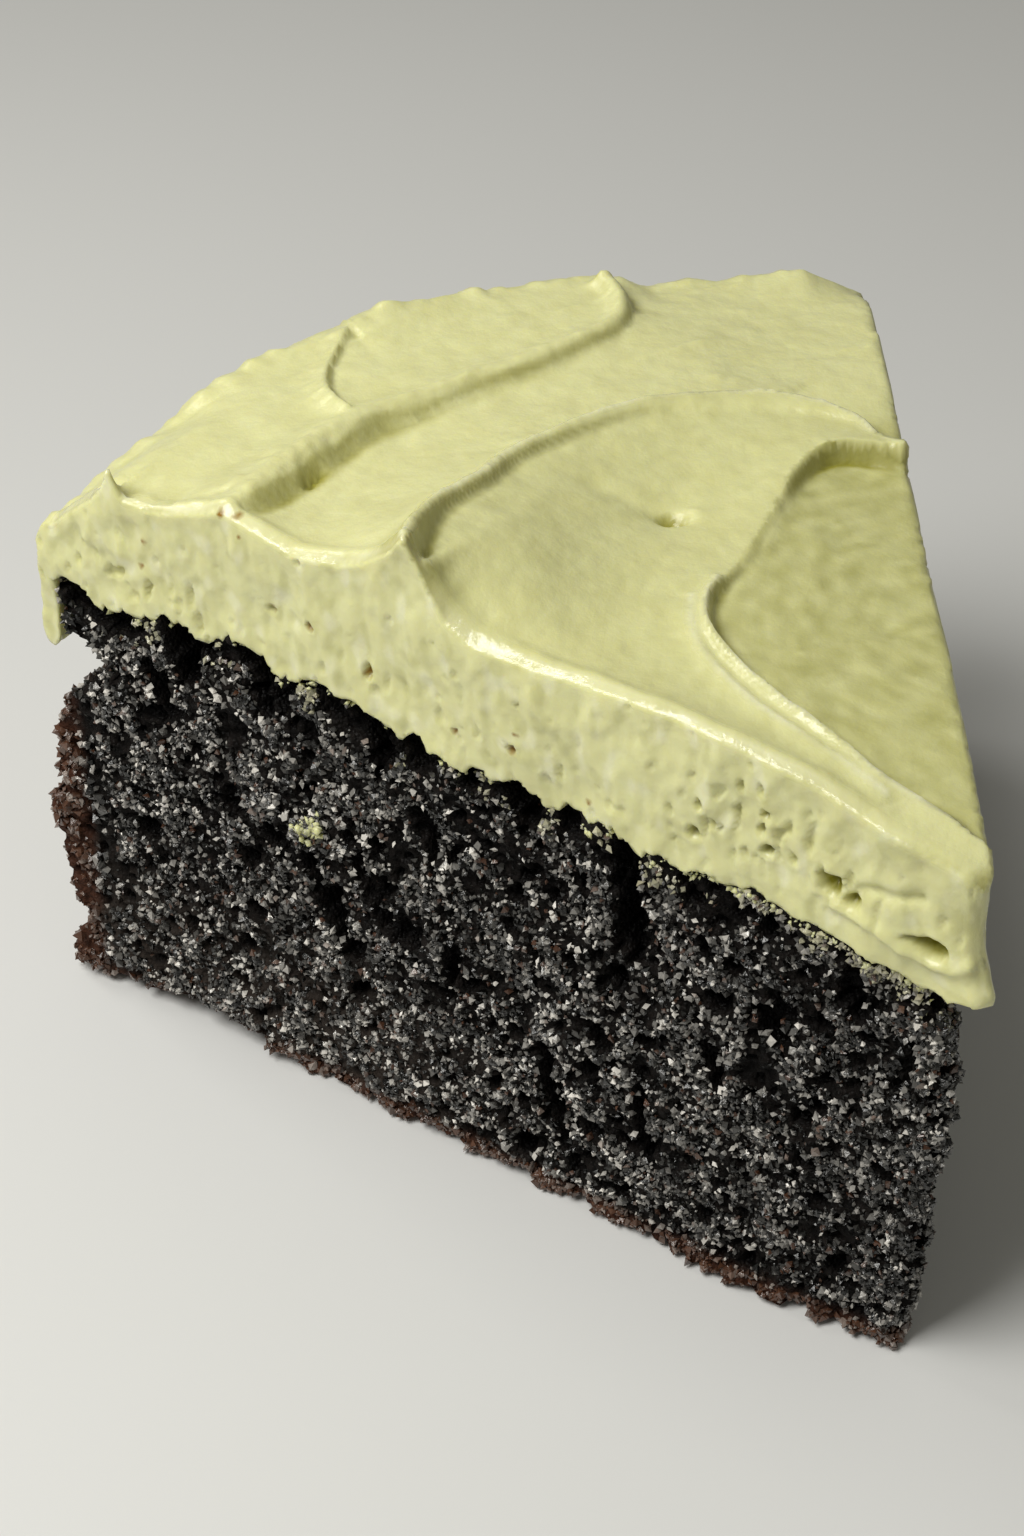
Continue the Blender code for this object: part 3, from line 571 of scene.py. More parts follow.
@dataclass(frozen=True)
class Body:
    """What both solids share: the sheet between them, the outer wall and the knife's marks."""

    sponge_height: Rows = field(default_factory=lambda: [
        (0, 46.3), (2.5, 46.2), (5, 46.7), (7, 47.8), (10, 49.1), (20, 50.0), (35, 50.2), (45, 51.0),
        (55, 52.2), (65, 53.8), (75, 54.6), (100, 54.8)])
    wall_radius: Rows = field(default_factory=lambda: [
        (0, 101.5), (3, 104.0), (8, 102.0), (14, 103.6), (22, 104.6), (30, 103.2),
        (36, 101.6), (42, 99.9), (47, LEDGE_RADIUS), (60, LEDGE_RADIUS)])
    notch_height: float = 45.0
    notch_spread: float = 3.2
    notch_depth: float = 6.2
    notch_depth_around: float = 1.6
    skirt_thickness: float = 2.3
    skirt_lowest: float = 45.5
    skirt_rise: float = 3.6
    tip_bulge: float = 1.8
    foot_flare: float = 1.9
    foot_flare_at: float = 17.0

    def sheet(self, plan: np.ndarray) -> np.ndarray:
        """Height of the uneven sheet between sponge and frosting.

        Args:
            plan: plan positions, one row each.

        Returns:
            One height for each position.
        """
        reach = np.hypot(plan[:, 0], plan[:, 1])
        base = table(self.sponge_height, reach)
        at_low = pattern(plan[:, 0], plan[:, 1], 3.1)
        near, second, draw = cells(at_low, 2.3, 0.37)
        blocks = (draw - 0.5) * smoothstep((second - near) / 0.22)
        growth = 0.45 + 0.55 * smoothstep((reach - 20) / 25)
        steps = 2.2 * blocks + 0.5 * ripple(at_low, 1.2, 5.0)
        return base + 0.8 * ripple(at_low, 4.4) + 0.6 * ripple(at_low, 9.0, 2.0) + growth * steps

    def wall(self, z: np.ndarray, angle: float) -> np.ndarray:
        """Radius of the outer wall, torn in under the ledge.

        Args:
            z: heights.
            angle: degrees from the middle, left positive.

        Returns:
            One radius for each height.
        """
        at_corner = bell(HALF_ANGLE - angle, 7.0)
        depth = self.notch_depth_around + (self.notch_depth - self.notch_depth_around) * at_corner
        notch = depth * bell(z - self.notch_height, self.notch_spread) * (z < 48)
        x, y = rim_point(TIN_RADIUS, angle)
        spots = pattern(np.full(len(z), x), np.full(len(z), y), z)
        lumps = 1.1 * ripple(spots, 9.0) * np.clip((44 - z) / 8, 0, 1)
        return table(self.wall_radius, z) - notch + lumps

    def skirt_end(self, angle: float) -> float:
        """Height at which the skirt of frosting ends.

        Args:
            angle: degrees from the middle, left positive.

        Returns:
            The height.
        """
        at_corner = bell(HALF_ANGLE - angle, 4.0)
        wave = 0.5 + 0.5 * sin(radians(angle * 13)) * cos(radians(angle * 5 + 40))
        fine = 0.5 * sin(angle * 1.9) + 0.3 * sin(angle * 4.3 + 1)
        return self.skirt_lowest + (self.skirt_rise * wave + fine) * (1 - at_corner)

    def shaped(self, points: np.ndarray, right_swell: float, right_push: float, nose_radius: float,
               chin: float) -> np.ndarray:
        """Moves points of either solid as the knife, the tin and its own weight left them.

        Args:
            points: corner points, one row each.
            right_swell: share of the swelling that the right cut keeps.
            right_push: how far the whole right cut stands out.
            nose_radius: radius of the rounded edge at the tip.
            chin: how far the tip stands out at the sheet between the solids.

        Returns:
            The moved points.
        """
        half = radians(HALF_ANGLE)
        x, y, z = points.T
        moved = points.copy()
        for side in (-1, 1):
            along = distance_along(points, side)
            share = bell(np.maximum(depth_behind(points, side), 0), 4.0)
            swell = 0.7 * ripple(pattern(along, np.full(len(z), 7.0 * side), z), 11.0)
            swell += 0.35 * ripple(pattern(along, np.full(len(z), 3.0), z * side), 4.5)
            if side > 0:
                swell = swell * right_swell
                swell += right_swell * 1.1 * bell(along - 78, 22) * bell(z - 40, 16)
                swell += right_push * (1 + 0.5 * bell(along, 14))
            else:
                swell += self.foot_flare * bell(along - self.foot_flare_at, 7.0) * bell(z, 3.0)
            moved += outward_of(side) * (share * swell)[:, None]
        reach, turn = np.hypot(x, y), np.arctan2(x, y)
        centre, tangent = nose_radius / sin(half), nose_radius / np.tan(half)
        share = np.clip(reach / tangent, 0, 1)
        wrap = (pi / 2 - half) * share
        middle = centre - nose_radius + (tangent - centre + nose_radius) * share
        side_on = centre - nose_radius * np.cos(wrap)
        arc_x = nose_radius * np.sin(wrap) * np.sin(turn) / sin(half)
        arc_y = middle + (side_on - middle) * (1 - np.cos(turn)) / (1 - cos(half))
        moved[:, 0] += np.where(reach < tangent, arc_x - x, 0)
        moved[:, 1] += np.where(reach < tangent, arc_y - y, 0)
        belly = self.tip_bulge * np.sin(pi * np.clip((z - 3) / 46.0, 0, 1))
        moved[:, 1] -= bell(reach, 6.0) * (belly + chin * bell(z - 47, 5.0))
        moved[:, 2] += 0.7 * max(chin, 0) * bell(reach, 3.5) * bell(z - 46.5, 2.5)
        return moved


@dataclass(frozen=True)
class KnifeMarks:
    """What the knife left on a cut side of the frosting.

    Places are distance from the tip and height. Pores hold place, width, height and depth, and flecks
    hold place and radius.
    """

    pores: Rows = field(default_factory=lambda: [
        (26.1, 57.9, 0.7, 1.3, 0.8), (26.7, 54.4, 1.0, 1.3, 1.2), (24.8, 56.3, 0.7, 1.0, 0.6),
        (22.3, 61.5, 0.5, 1.2, 0.6), (20.4, 61.9, 0.6, 1.4, 0.6), (19.8, 59.4, 0.8, 1.2, 1.0),
        (20.1, 57.6, 0.7, 1.4, 0.8), (19.4, 55.6, 1.1, 1.3, 1.3), (16.9, 55.6, 0.7, 1.3, 0.7),
        (15.4, 58.2, 0.6, 2.4, 0.4), (13.1, 54.8, 1.9, 2.2, 1.7), (10.9, 53.8, 1.3, 1.5, 1.3),
        (4.2, 52.3, 1.9, 1.9, 1.8), (5.1, 52.4, 1.7, 1.3, 1.3), (6.0, 52.5, 1.1, 0.6, 0.7),
        (45.4, 55.8, 0.9, 0.8, 0.6), (44.9, 61.0, 0.5, 0.5, 0.4), (51.7, 55.2, 0.6, 0.5, 0.4),
        (61.6, 57.8, 0.8, 1.5, 0.9), (67.9, 60.8, 0.8, 0.9, 0.8), (72.9, 60.5, 1.1, 0.8, 0.5),
        (82.4, 58.8, 0.6, 2.6, 0.5), (69.0, 67.4, 0.8, 0.9, 0.5)])
    furrow: Rows = field(default_factory=lambda: [
        (11.2, 53.8), (10.6, 55.2), (9.2, 56.0), (7.4, 56.2), (5.4, 56.9)])
    smear: Rows = field(default_factory=lambda: [
        (12.5, 53.0), (8.7, 52.6), (6.0, 51.2), (3.5, 50.7), (1.4, 51.9)])
    flecks: Rows = field(default_factory=lambda: [
        (78.1, 69.3, 0.35), (76.5, 69.6, 0.28), (87.9, 60.3, 0.25), (75.7, 67.7, 0.2),
        (67.9, 60.6, 0.35), (61.7, 57.5, 0.35), (72.6, 60.7, 0.3), (45.4, 55.7, 0.35),
        (45.0, 57.7, 0.2), (51.7, 55.2, 0.25), (37.5, 52.8, 0.25), (87.4, 63.3, 0.25)])
    # Ribs that the knife drew: height, times taller than wide, width, and shift of the pattern
    ribs: Rows = field(default_factory=lambda: [
        (0.06, 12, 1.2, 0.0), (0.38, 6, 2.1, 2.0), (0.17, 1.8, 1.0, 4.0), (0.12, 1, 5.0, 7.0)])
    scattered: int = 60
    proud: float = 0.2

    def scattered_pores(self, seed: int) -> Rows:
        """Small pores at random places, taller than they are wide.

        Args:
            seed: which random places are used.

        Returns:
            Rows like those of the pores.
        """
        draw = np.random.default_rng(seed)
        return [(s, z, w, 1.7 * w, 0.6 * w) for s, z, w in zip(
            draw.uniform(2, 98, self.scattered), draw.uniform(50, 67, self.scattered),
            draw.uniform(0.22, 0.6, self.scattered))]

    def relief(self, spots: np.ndarray, drop: np.ndarray, seed: int) -> np.ndarray:
        """How far the cut frosting stands out.

        Args:
            spots: distance from the tip and height, one row each.
            drop: how far each spot lies below the cut's top edge.
            seed: 1 for the left cut, which has the furrow and the smear, and 2 for the right one.

        Returns:
            Distance outward for each spot, in millimetres.
        """
        s, z = spots.T
        side = 10.0 * seed
        ribs = sum(height * ripple(pattern(s, z / tall, side), width, shift)
                   for height, tall, width, shift in self.ribs)
        rough = bell(s - 92, 7) * bell(z - 60, 5) + 0.5 * bell(s - 22, 9) * bell(z - 58, 4)
        ribs = ribs + 0.35 * rough * ripple(pattern(s, z / 1.4, side), 1.3, 6.0)
        torn = ripple(pattern(s, z / 2.2, side), 1.0, 8.0)
        ragged = bell(s - 20.5, 6.5) * bell(z - 58.2, 3.4) + 0.7 * bell(s - 90, 9) * bell(z - 60.5, 5)
        ragged = np.minimum(ragged + 0.6 * bell(z - 55, 5), 1)
        sunk = -0.6 * smoothstep((torn - 0.42 + 0.22 * ragged) / 0.3) * ragged
        raised = np.zeros(len(s))
        frayed = 1 + 0.45 * smoothstep((s - 7) / 2) * ripple(pattern(s, z, side), 0.7, 9.0)
        own = self.pores if seed == 1 else [((s0 + 37) % 88 + 8, *rest) for s0, *rest in self.pores]
        for ps, pz, width, height, depth in own + self.scattered_pores(seed):
            reach = np.hypot((s - ps) / (0.5 * width), (z - pz) / (0.5 * height)) * frayed
            sunk = np.minimum(sunk, -depth * smoothstep(1.4 - reach))
            raised = np.maximum(raised, 0.12 * depth * bell(reach - 1.6, 0.35))
        if seed == 1:
            furrow = bell(nearest_gap(spots, smooth_path(self.furrow, 0.3)), 0.55)
            smear = bell(nearest_gap(spots, smooth_path(self.smear, 0.3)), 0.6)
            sunk, raised = np.minimum(sunk, -0.6 * furrow), np.maximum(raised, 0.55 * smear)
        drawn = self.proud + ribs * smoothstep((drop - 0.3) / 2.4)
        return drawn * smoothstep((s - 0.3) / 2.2) + (sunk + raised) * smoothstep(drop / 1.2)

    def fleck(self, spots: np.ndarray) -> np.ndarray:
        """Brown crumb stains.

        Args:
            spots: distance from the tip and height, one row each.

        Returns:
            Share of stain at each spot.
        """
        share = np.zeros(len(spots))
        for s, z, radius in self.flecks:
            reach = np.hypot(spots[:, 0] - s, spots[:, 1] - z)
            share = np.maximum(share, smoothstep(1.6 - reach / radius))
        return share


@dataclass
class Shell:
    """Corner points and faces of one closed solid, gathered patch by patch."""

    points: list[Triple] = field(default_factory=list)
    patches: list[Patch] = field(default_factory=list)
    faces: list[list[int]] = field(default_factory=list)

    def add(self, points: list[Triple], patch: Patch) -> list[int]:
        """Adds corner points.

        Args:
            points: the corner points.
            patch: where on the skin they lie.

        Returns:
            Their numbers.
        """
        first = len(self.points)
        self.points.extend(points)
        self.patches.extend([patch] * len(points))
        return list(range(first, len(self.points)))

    def on(self, *patches: Patch) -> np.ndarray:
        """Whether each corner lies on one of the given patches."""
        return np.array([patch in patches for patch in self.patches])

    def fill(self, border: list[int], flat_border: list, flat_inner: list, inner: list[int]) -> None:
        """Fills a border with triangles.

        Args:
            border: numbers of the border's corners, in order.
            flat_border: the same corners laid out flat.
            flat_inner: inner corners laid out flat.
            inner: numbers of the inner corners.
        """
        numbers = list(border) + list(inner)
        points = [Vector(point) for point in list(unaligned(flat_border)) + list(flat_inner)]
        count = len(flat_border)
        turn = sum(a.cross(b) for a, b in zip(points[count - 1:count] + points[:count - 1], points))
        ring = list(range(count))
        made = delaunay_2d_cdt(points, [], [ring if turn > 0 else ring[::-1]], 1, 1e-6, True)
        origin = [ids[0] for ids in made[3]]
        for face, owners in zip(made[2], made[5]):
            if owners:
                self.faces.append([numbers[origin[corner]] for corner in face])

    def strip(self, lines: list[list[int]]) -> None:
        """Joins neighbouring lines of corners with four-sided faces."""
        for one, two in zip(lines, lines[1:]):
            self.faces.extend([list(face) for face in zip(one, one[1:], two[1:], two)])

    def cover(self, outline: list, inner: np.ndarray, heights: np.ndarray, patch: Patch) -> list[int]:
        """Spreads a surface over the slice's whole plan.

        Args:
            outline: plan positions around the slice.
            inner: plan positions inside it.
            heights: one height for each position, the outline's first.
            patch: where on the skin the surface lies.

        Returns:
            Numbers of the outline's corners.
        """
        rows = [(*place, z) for place, z in zip([*outline, *inner], heights)]
        border = self.add(rows[:len(outline)], patch)
        self.fill(border, outline, list(inner), self.add(rows[len(outline):], patch))
        return border

    def close(self, upper: list[int], lower: list[int], lines: list[list[int]], edge_step: float,
              steps: tuple[float, float]) -> None:
        """Closes both cut sides.

        Args:
            upper: numbers around the upper surface, from the tip along the left cut.
            lower: numbers around the lower surface, in the same order.
            lines: numbers down the rim at each station, from left to right.
            edge_step: spacing of the corners down the tip.
            steps: spacing of the inner corners of the left and of the right cut.
        """
        high, low = self.points[upper[0]][2], self.points[lower[0]][2]
        levels = np.linspace(high, low, round((high - low) / edge_step) + 1)[1:-1]
        nose = self.add([(0.0, 0.0, z) for z in levels], Patch.LEFT_CUT)
        first = upper.index(lines[0][0])
        last = first + len(lines) - 1
        self.fill_cut(upper[:first + 1], lines[0], lower[:first + 1], nose, steps[0])
        self.fill_cut(upper[:1] + upper[:last - 1:-1], lines[-1],
                      lower[:1] + lower[:last - 1:-1], nose, steps[1])

    def fill_cut(self, upper: list[int], outer: list[int], lower: list[int], nose: list[int],
                 step: float) -> None:
        """Fills one cut side.

        Args:
            upper: numbers of the upper edge's corners, from the tip.
            outer: numbers down the outer profile, whose ends belong to the two edges.
            lower: numbers of the lower edge's corners, from the tip.
            nose: numbers down the line at the tip.
            step: spacing of the inner corners.
        """
        ring = upper + outer[1:-1] + lower[::-1] + nose[::-1]
        flat = [(hypot(*self.points[i][:2]), self.points[i][2]) for i in ring]
        side = 1 if self.points[upper[-1]][0] > 0 else -1
        inner = lattice(flat, step)
        numbers = self.add([(*cut_point(s, side), z) for s, z in inner],
                           Patch.RIGHT_CUT if side > 0 else Patch.LEFT_CUT)
        self.fill(ring, flat, list(inner), numbers)


def unaligned(polygon: list, nudge: float = 0.01) -> np.ndarray:
    """A polygon of which no three corners stand in one line.

    Args:
        polygon: the polygon's corners.
        nudge: how far every second corner is moved outward.

    Returns:
        The corners, one row each.
    """
    ring = np.array(polygon, dtype=float)
    before, after = np.roll(ring, 1, axis=0), np.roll(ring, -1, axis=0)
    area = (ring[:, 0] * after[:, 1] - after[:, 0] * ring[:, 1]).sum()
    along = after - before
    out = np.stack([along[:, 1], -along[:, 0]], axis=1) * np.sign(area)
    out /= np.linalg.norm(out, axis=1)[:, None]
    ring[1::2] += nudge * out[1::2]
    return ring


def lattice(polygon: list, step: float, margin: float = 0.55) -> np.ndarray:
    """Points on a triangular lattice that lie well inside a polygon.

    Args:
        polygon: the polygon's corners.
        step: spacing of the lattice.
        margin: least distance to the polygon's edge, as a share of step.

    Returns:
        The points, one row each.
    """
    ring = np.array(polygon, dtype=float)
    low, high = ring.min(axis=0), ring.max(axis=0)
    rows = []
    for row, y in enumerate(np.arange(low[1] + 0.5 * step, high[1], step * 0.866)):
        xs = np.arange(low[0] + (0.25 + 0.5 * (row % 2)) * step, high[0], step)
        rows.append(np.column_stack([xs, np.full(len(xs), y)]))
    points = np.vstack(rows)
    points = points[enclosed(points, ring)]
    return points[nearest_gap(points, ring) > margin * step]


def rim_angles(step: float) -> np.ndarray:
    """Degrees from the middle of the stations along the rim, from left to right."""
    count = round(TIN_RADIUS * radians(2 * HALF_ANGLE) / step)
    return np.linspace(HALF_ANGLE, -HALF_ANGLE, count + 1)


def plan_outline(radius: float, step: float) -> tuple[list, list, list]:
    """Outline of the slice seen from above.

    Args:
        radius: radius of the rim.
        step: spacing of the stations.

    Returns:
        The left cut from the tip, the rim with both corners, and the right cut back to the tip.
    """
    count = round(TIN_RADIUS / step)
    steps = [radius * i / count for i in range(count)]
    left = [cut_point(s, -1) for s in steps]
    rim = [rim_point(radius, angle) for angle in rim_angles(step)]
    right = [cut_point(s, 1) for s in steps[:0:-1]]
    return left, rim, right


def linked(name: str, data: bpy.types.ID) -> bpy.types.Object:
    """A new object of the given data, linked to the scene."""
    item = bpy.data.objects.new(name, data)
    bpy.context.scene.collection.objects.link(item)
    return item


def make_object(name: str, points: np.ndarray, faces: list, smooth: bool = True) -> bpy.types.Object:
    """Makes an object from points in the slice's millimetres.

    Args:
        name: the object's name.
        points: corner points, one row each.
        faces: corner numbers of each face.
        smooth: whether the faces are shaded smooth.

    Returns:
        The object, linked to the scene.
    """
    mesh = bpy.data.meshes.new(name)
    mesh.from_pydata(((points + np.array(TIP)) * MM).tolist(), [], faces)
    if smooth:
        mesh.shade_smooth()
    return linked(name, mesh)


def corners_of(item: bpy.types.Object) -> np.ndarray:
    """The object's corners in the slice's millimetres, one row each."""
    spots = np.zeros(len(item.data.vertices) * 3)
    item.data.vertices.foreach_get("co", spots)
    return spots.reshape(-1, 3) / MM - np.array(TIP)


def outward(points: np.ndarray, faces: list) -> tuple[list, np.ndarray]:
    """Turns faces outward and finds the skin's direction at each corner.

    Args:
        points: corner points, one row each.
        faces: corner numbers of each face.

    Returns:
        The turned faces and one outward direction for each corner.
    """
    mesh = bpy.data.meshes.new("draft")
    mesh.from_pydata(points.tolist(), [], faces)
    work = bmesh.new()
    work.from_mesh(mesh)
    bmesh.ops.recalc_face_normals(work, faces=work.faces)
    work.normal_update()
    turned = [[corner.index for corner in face.verts] for face in work.faces]
    normals = np.array([corner.normal[:] for corner in work.verts])
    work.free()
    bpy.data.meshes.remove(mesh)
    return turned, normals


def paint(item: bpy.types.Object, name: str, values: np.ndarray) -> None:
    """Stores one number for each corner, for the material to read."""
    layer = item.data.attributes.new(name, "FLOAT", "POINT")
    layer.data.foreach_set("value", np.asarray(values, dtype=np.float32))


def hollowness(item: bpy.types.Object, rounds: int = 7) -> np.ndarray:
    """How far each corner lies below the mean of its neighbours.

    Args:
        item: the object.
        rounds: how many times the depths are evened out.

    Returns:
        One depth for each corner, in millimetres.
    """
    mesh = item.data
    ends = np.zeros(len(mesh.edges) * 2, dtype=int)
    mesh.edges.foreach_get("vertices", ends)
    first, second = ends.reshape(-1, 2).T
    height = corners_of(item)[:, 2]
    count = np.maximum(np.bincount(first, minlength=len(height))
                       + np.bincount(second, minlength=len(height)), 1)

    def neighbours(values: np.ndarray) -> np.ndarray:
        """Mean of the values at each corner's neighbours."""
        total = np.bincount(first, values[second], len(height))
        return (total + np.bincount(second, values[first], len(height))) / count

    below = neighbours(height) - height
    for _ in range(rounds):
        below = 0.5 * below + 0.5 * neighbours(below)
    return below


def linear(code: str) -> tuple[float, float, float, float]:
    """Turns an sRGB hex colour into linear values with full alpha."""
    parts = [int(code[i:i + 2], 16) / 255 for i in (1, 3, 5)]
    return (*[c / 12.92 if c <= 0.04045 else ((c + 0.055) / 1.055) ** 2.4 for c in parts], 1.0)


def feed(tree: bpy.types.NodeTree, node: bpy.types.Node, inputs: dict) -> None:
    """Sets a node's inputs.

    Args:
        tree: the node tree.
        node: the node.
        inputs: a value, or an output to link, for each input's name.
    """
    for name, value in inputs.items():
        if isinstance(value, bpy.types.NodeSocket):
            tree.links.new(value, node.inputs[name])
        else:
            node.inputs[name].default_value = value


def add_node(tree: bpy.types.NodeTree, kind: str, output: str, inputs: dict | None = None,
             **settings: object) -> bpy.types.NodeSocket:
    """Adds a node with its settings and links.

    Args:
        tree: the node tree.
        kind: Blender's name for the kind of node.
        output: name of the output that is wanted.
        inputs: a value, or an output to link, for each input's name.
        settings: values of the node's own properties.

    Returns:
        The output.
    """
    node = tree.nodes.new(kind)
    for name, value in settings.items():
        setattr(node, name, value)
    feed(tree, node, inputs or {})
    return node.outputs[output]


def where(tree: bpy.types.NodeTree) -> bpy.types.NodeSocket:
    """Position in the piece's own space, in metres."""
    return add_node(tree, "ShaderNodeTexCoord", "Object")


def stored(tree: bpy.types.NodeTree, name: str) -> bpy.types.NodeSocket:
    """A number that was stored at each corner."""
    return add_node(tree, "ShaderNodeAttribute", "Fac", attribute_name=name)


def mottle(tree: bpy.types.NodeTree, size_mm: float, detail: float, roughness: float = 0.5
           ) -> bpy.types.NodeSocket:
    """Noise that follows the piece's position.

    Args:
        tree: the node tree.
        size_mm: width of a patch.
        detail: how many finer layers are added.
        roughness: how strongly each finer layer shows.

    Returns:
        The output, from about 0 to 1.
    """
    return add_node(tree, "ShaderNodeTexNoise", "Fac", {
        "Vector": where(tree), "Scale": 1 / (size_mm * MM), "Detail": detail, "Roughness": roughness})


def remap(tree: bpy.types.NodeTree, value: bpy.types.NodeSocket, taken: tuple[float, float],
          given: tuple[float, float] = (0.0, 1.0)) -> bpy.types.NodeSocket:
    """Stretches one range of a value onto another and holds it there.

    Args:
        tree: the node tree.
        value: the value.
        taken: the two ends of the range that is read.
        given: what they become.

    Returns:
        The output.
    """
    return add_node(tree, "ShaderNodeMapRange", "Result", {
        "Value": value, "From Min": taken[0], "From Max": taken[1], "To Min": given[0],
        "To Max": given[1]})


def layered(tree: bpy.types.NodeTree, base: str, layers: dict) -> bpy.types.NodeSocket:
    """Lays colours over each other.

    Args:
        tree: the node tree.
        base: sRGB hex of the lowest colour.
        layers: for each colour's sRGB hex, in order, the output that says how much of it shows.

    Returns:
        The output.
    """
    colour = linear(base)
    for code, share in layers.items():
        colour = add_node(tree, "ShaderNodeMix", "Result", {
            "Factor": share, "A": colour, "B": linear(code)}, data_type="RGBA")
    return colour


def bump(tree: bpy.types.NodeTree, height: bpy.types.NodeSocket, strength: float, depth_mm: float,
         under: dict | None = None, invert: bool = False) -> bpy.types.NodeSocket:
    """Relief too fine for the mesh.

    Args:
        tree: the node tree.
        height: the output that gives the height.
        strength: how strongly the relief shows.
        depth_mm: depth between the heights 0 and 1.
        under: another relief that this one lies on, as the input "Normal".
        invert: whether height 1 is the lowest.

    Returns:
        The output, for the shader's normal.
    """
    return add_node(tree, "ShaderNodeBump", "Normal", {
        "Height": height, "Strength": strength, "Distance": depth_mm * MM, **(under or {})},
        invert=invert)


def new_material(name: str) -> tuple[bpy.types.Material, bpy.types.NodeTree, bpy.types.Node]:
    """A new material.

    Args:
        name: the material's name.

    Returns:
        The material, its node tree and its Principled shader.
    """
    material = bpy.data.materials.new(name)
    material.use_nodes = True
    return material, material.node_tree, material.node_tree.nodes["Principled BSDF"]


@dataclass(frozen=True)
class ButtercreamFinish:
    """Buttercream, whipped smooth, tinted pale green and swept with a steel spatula.

    Butterfat gives it a soft satin sheen and lets light in by a millimetre or two, so hollows glow a
    warmer, deeper green than the surface. A deeper olive is also painted into the creases, the steep
    flanks and the cut sides' pits as painted shade.
    """

    name: str = "buttercream"
    light: str = "#E0DFA6"
    shade: str = "#DBD99E"
    # Painted shade for the low side and the bowl; also random dull patches on the cut sides
    dull: str = "#A3A15C"
    # Painted highlight along the shining crests and the left edge; also whitish patches on the cut
    # sides
    crest: str = "#F7F6DE"
    # Painted shade: deeper olive for the creases, the steep flanks and the cut sides' pits
    painted_shade: str = "#948E1A"
    fleck: str = "#8F6A20"
    roughness: float = 0.38
    wet_roughness: float = 0.14
    film: float = 0.22
    film_roughness: float = 0.16
    ior: float = 1.46
    glow: float = 0.32
    glow_depth_mm: float = 1.6
    # How far red, green and blue light travel inside, as shares of the glow's depth
    glow_colours: Triple = (1.0, 0.85, 0.30)
    mottle_mm: float = 4.0
    streak_mm: float = 0.55
    streak_width_to_length: float = 0.045
    peel_mm: float = 1.1

    def material(self) -> bpy.types.Material:
        """Builds the material.

        Returns:
            The material.
        """
        material, tree, shader = new_material(self.name)
        # Over the random mottle: dull painted shade and patches, pale painted highlight, olive painted
        # shade, brown stains
        colour = layered(tree, self.light, {
            self.shade: remap(tree, mottle(tree, self.mottle_mm, 3.0, 0.6), (0.35, 0.65)),
            self.dull: stored(tree, "swept"), self.crest: stored(tree, "crest"),
            self.painted_shade: stored(tree, "painted_shade"), self.fleck: stored(tree, "fleck")})
        stroke = add_node(tree, "ShaderNodeCombineXYZ", "Vector", {
            "X": stored(tree, "across"), "Y": stored(tree, "along")})
        stretched = add_node(tree, "ShaderNodeMapping", "Vector", {"Vector": stroke, "Scale": (
            1 / self.streak_mm, self.streak_width_to_length / self.streak_mm, 1.0)})
        streaks = add_node(tree, "ShaderNodeTexNoise", "Fac", {
            "Vector": stretched, "Scale": 1.0, "Detail": 4.0})
        drawn = bump(tree, streaks, 0.08, 0.25)
        skin = bump(tree, mottle(tree, self.peel_mm, 4.0, 0.55), 0.35, 0.3, {"Normal": drawn})
        feed(tree, shader, {
            "Base Color": colour, "Normal": skin, "Coat Normal": skin,
            "Roughness": remap(tree, stored(tree, "wet"), (0.0, 1.0),
                               (self.roughness, self.wet_roughness)),
            "Coat Weight": self.film, "Coat Roughness": self.film_roughness, "IOR": self.ior,
            "Subsurface Weight": self.glow, "Subsurface Radius": self.glow_colours,
            "Subsurface Scale": self.glow_depth_mm * MM})
        return material


@dataclass(frozen=True)
class SpongeFinish:
    """Dark cocoa sponge, baked and torn open by the knife.

    The moist crumb is nearly black and glints where oil and syrup film its grains. Its pores and
    tears are painted full black as painted shade. Its baked skin is a dull red-brown.
    """

    name: str = "cocoa_sponge"
    crumb: str = "#090807"
    grain: str = "#1F1B19"
    # Paler colour low down near the wall
    low_pale: str = "#3B342F"
    crust: str = "#4A2E22"
    # Painted shade: full black for the pores and tears
    pore_shade: str = "#030202"
    filmed_roughness: tuple[float, float] = (0.28, 0.7)
    ior: float = 1.45
    reflection: float = 0.08
    patch_mm: float = 1.3
    film_mm: float = 0.6
    grain_mm: float = 0.45
    grit_mm: float = 0.25

    def material(self) -> bpy.types.Material:
        """Builds the material.

        Returns:
            The material.
        """
        material, tree, shader = new_material(self.name)
        # Over the crumb: random grain tint, paler low down, baked crust, and full black painted shade
        # in pores and tears
        colour = layered(tree, self.crumb, {
            self.grain: remap(tree, mottle(tree, self.patch_mm, 5.0, 0.65), (0.4, 0.65)),
            self.low_pale: stored(tree, "low_pale"), self.crust: stored(tree, "crust"),
            self.pore_shade: stored(tree, "painted_shade")})
        grains = add_node(tree, "ShaderNodeTexVoronoi", "Distance", {
            "Vector": where(tree), "Scale": 1 / (self.grain_mm * MM)})
        lumps = bump(tree, grains, 0.8, 0.3, invert=True)
        feed(tree, shader, {
            "Base Color": colour,
            "Roughness": remap(tree, mottle(tree, self.film_mm, 2.0), (0.35, 0.65),
                               self.filmed_roughness),
            "Normal": bump(tree, mottle(tree, self.grit_mm, 3.0), 0.7, 0.15, {"Normal": lumps}),
            "IOR": self.ior, "Specular IOR Level": self.reflection})
        return material


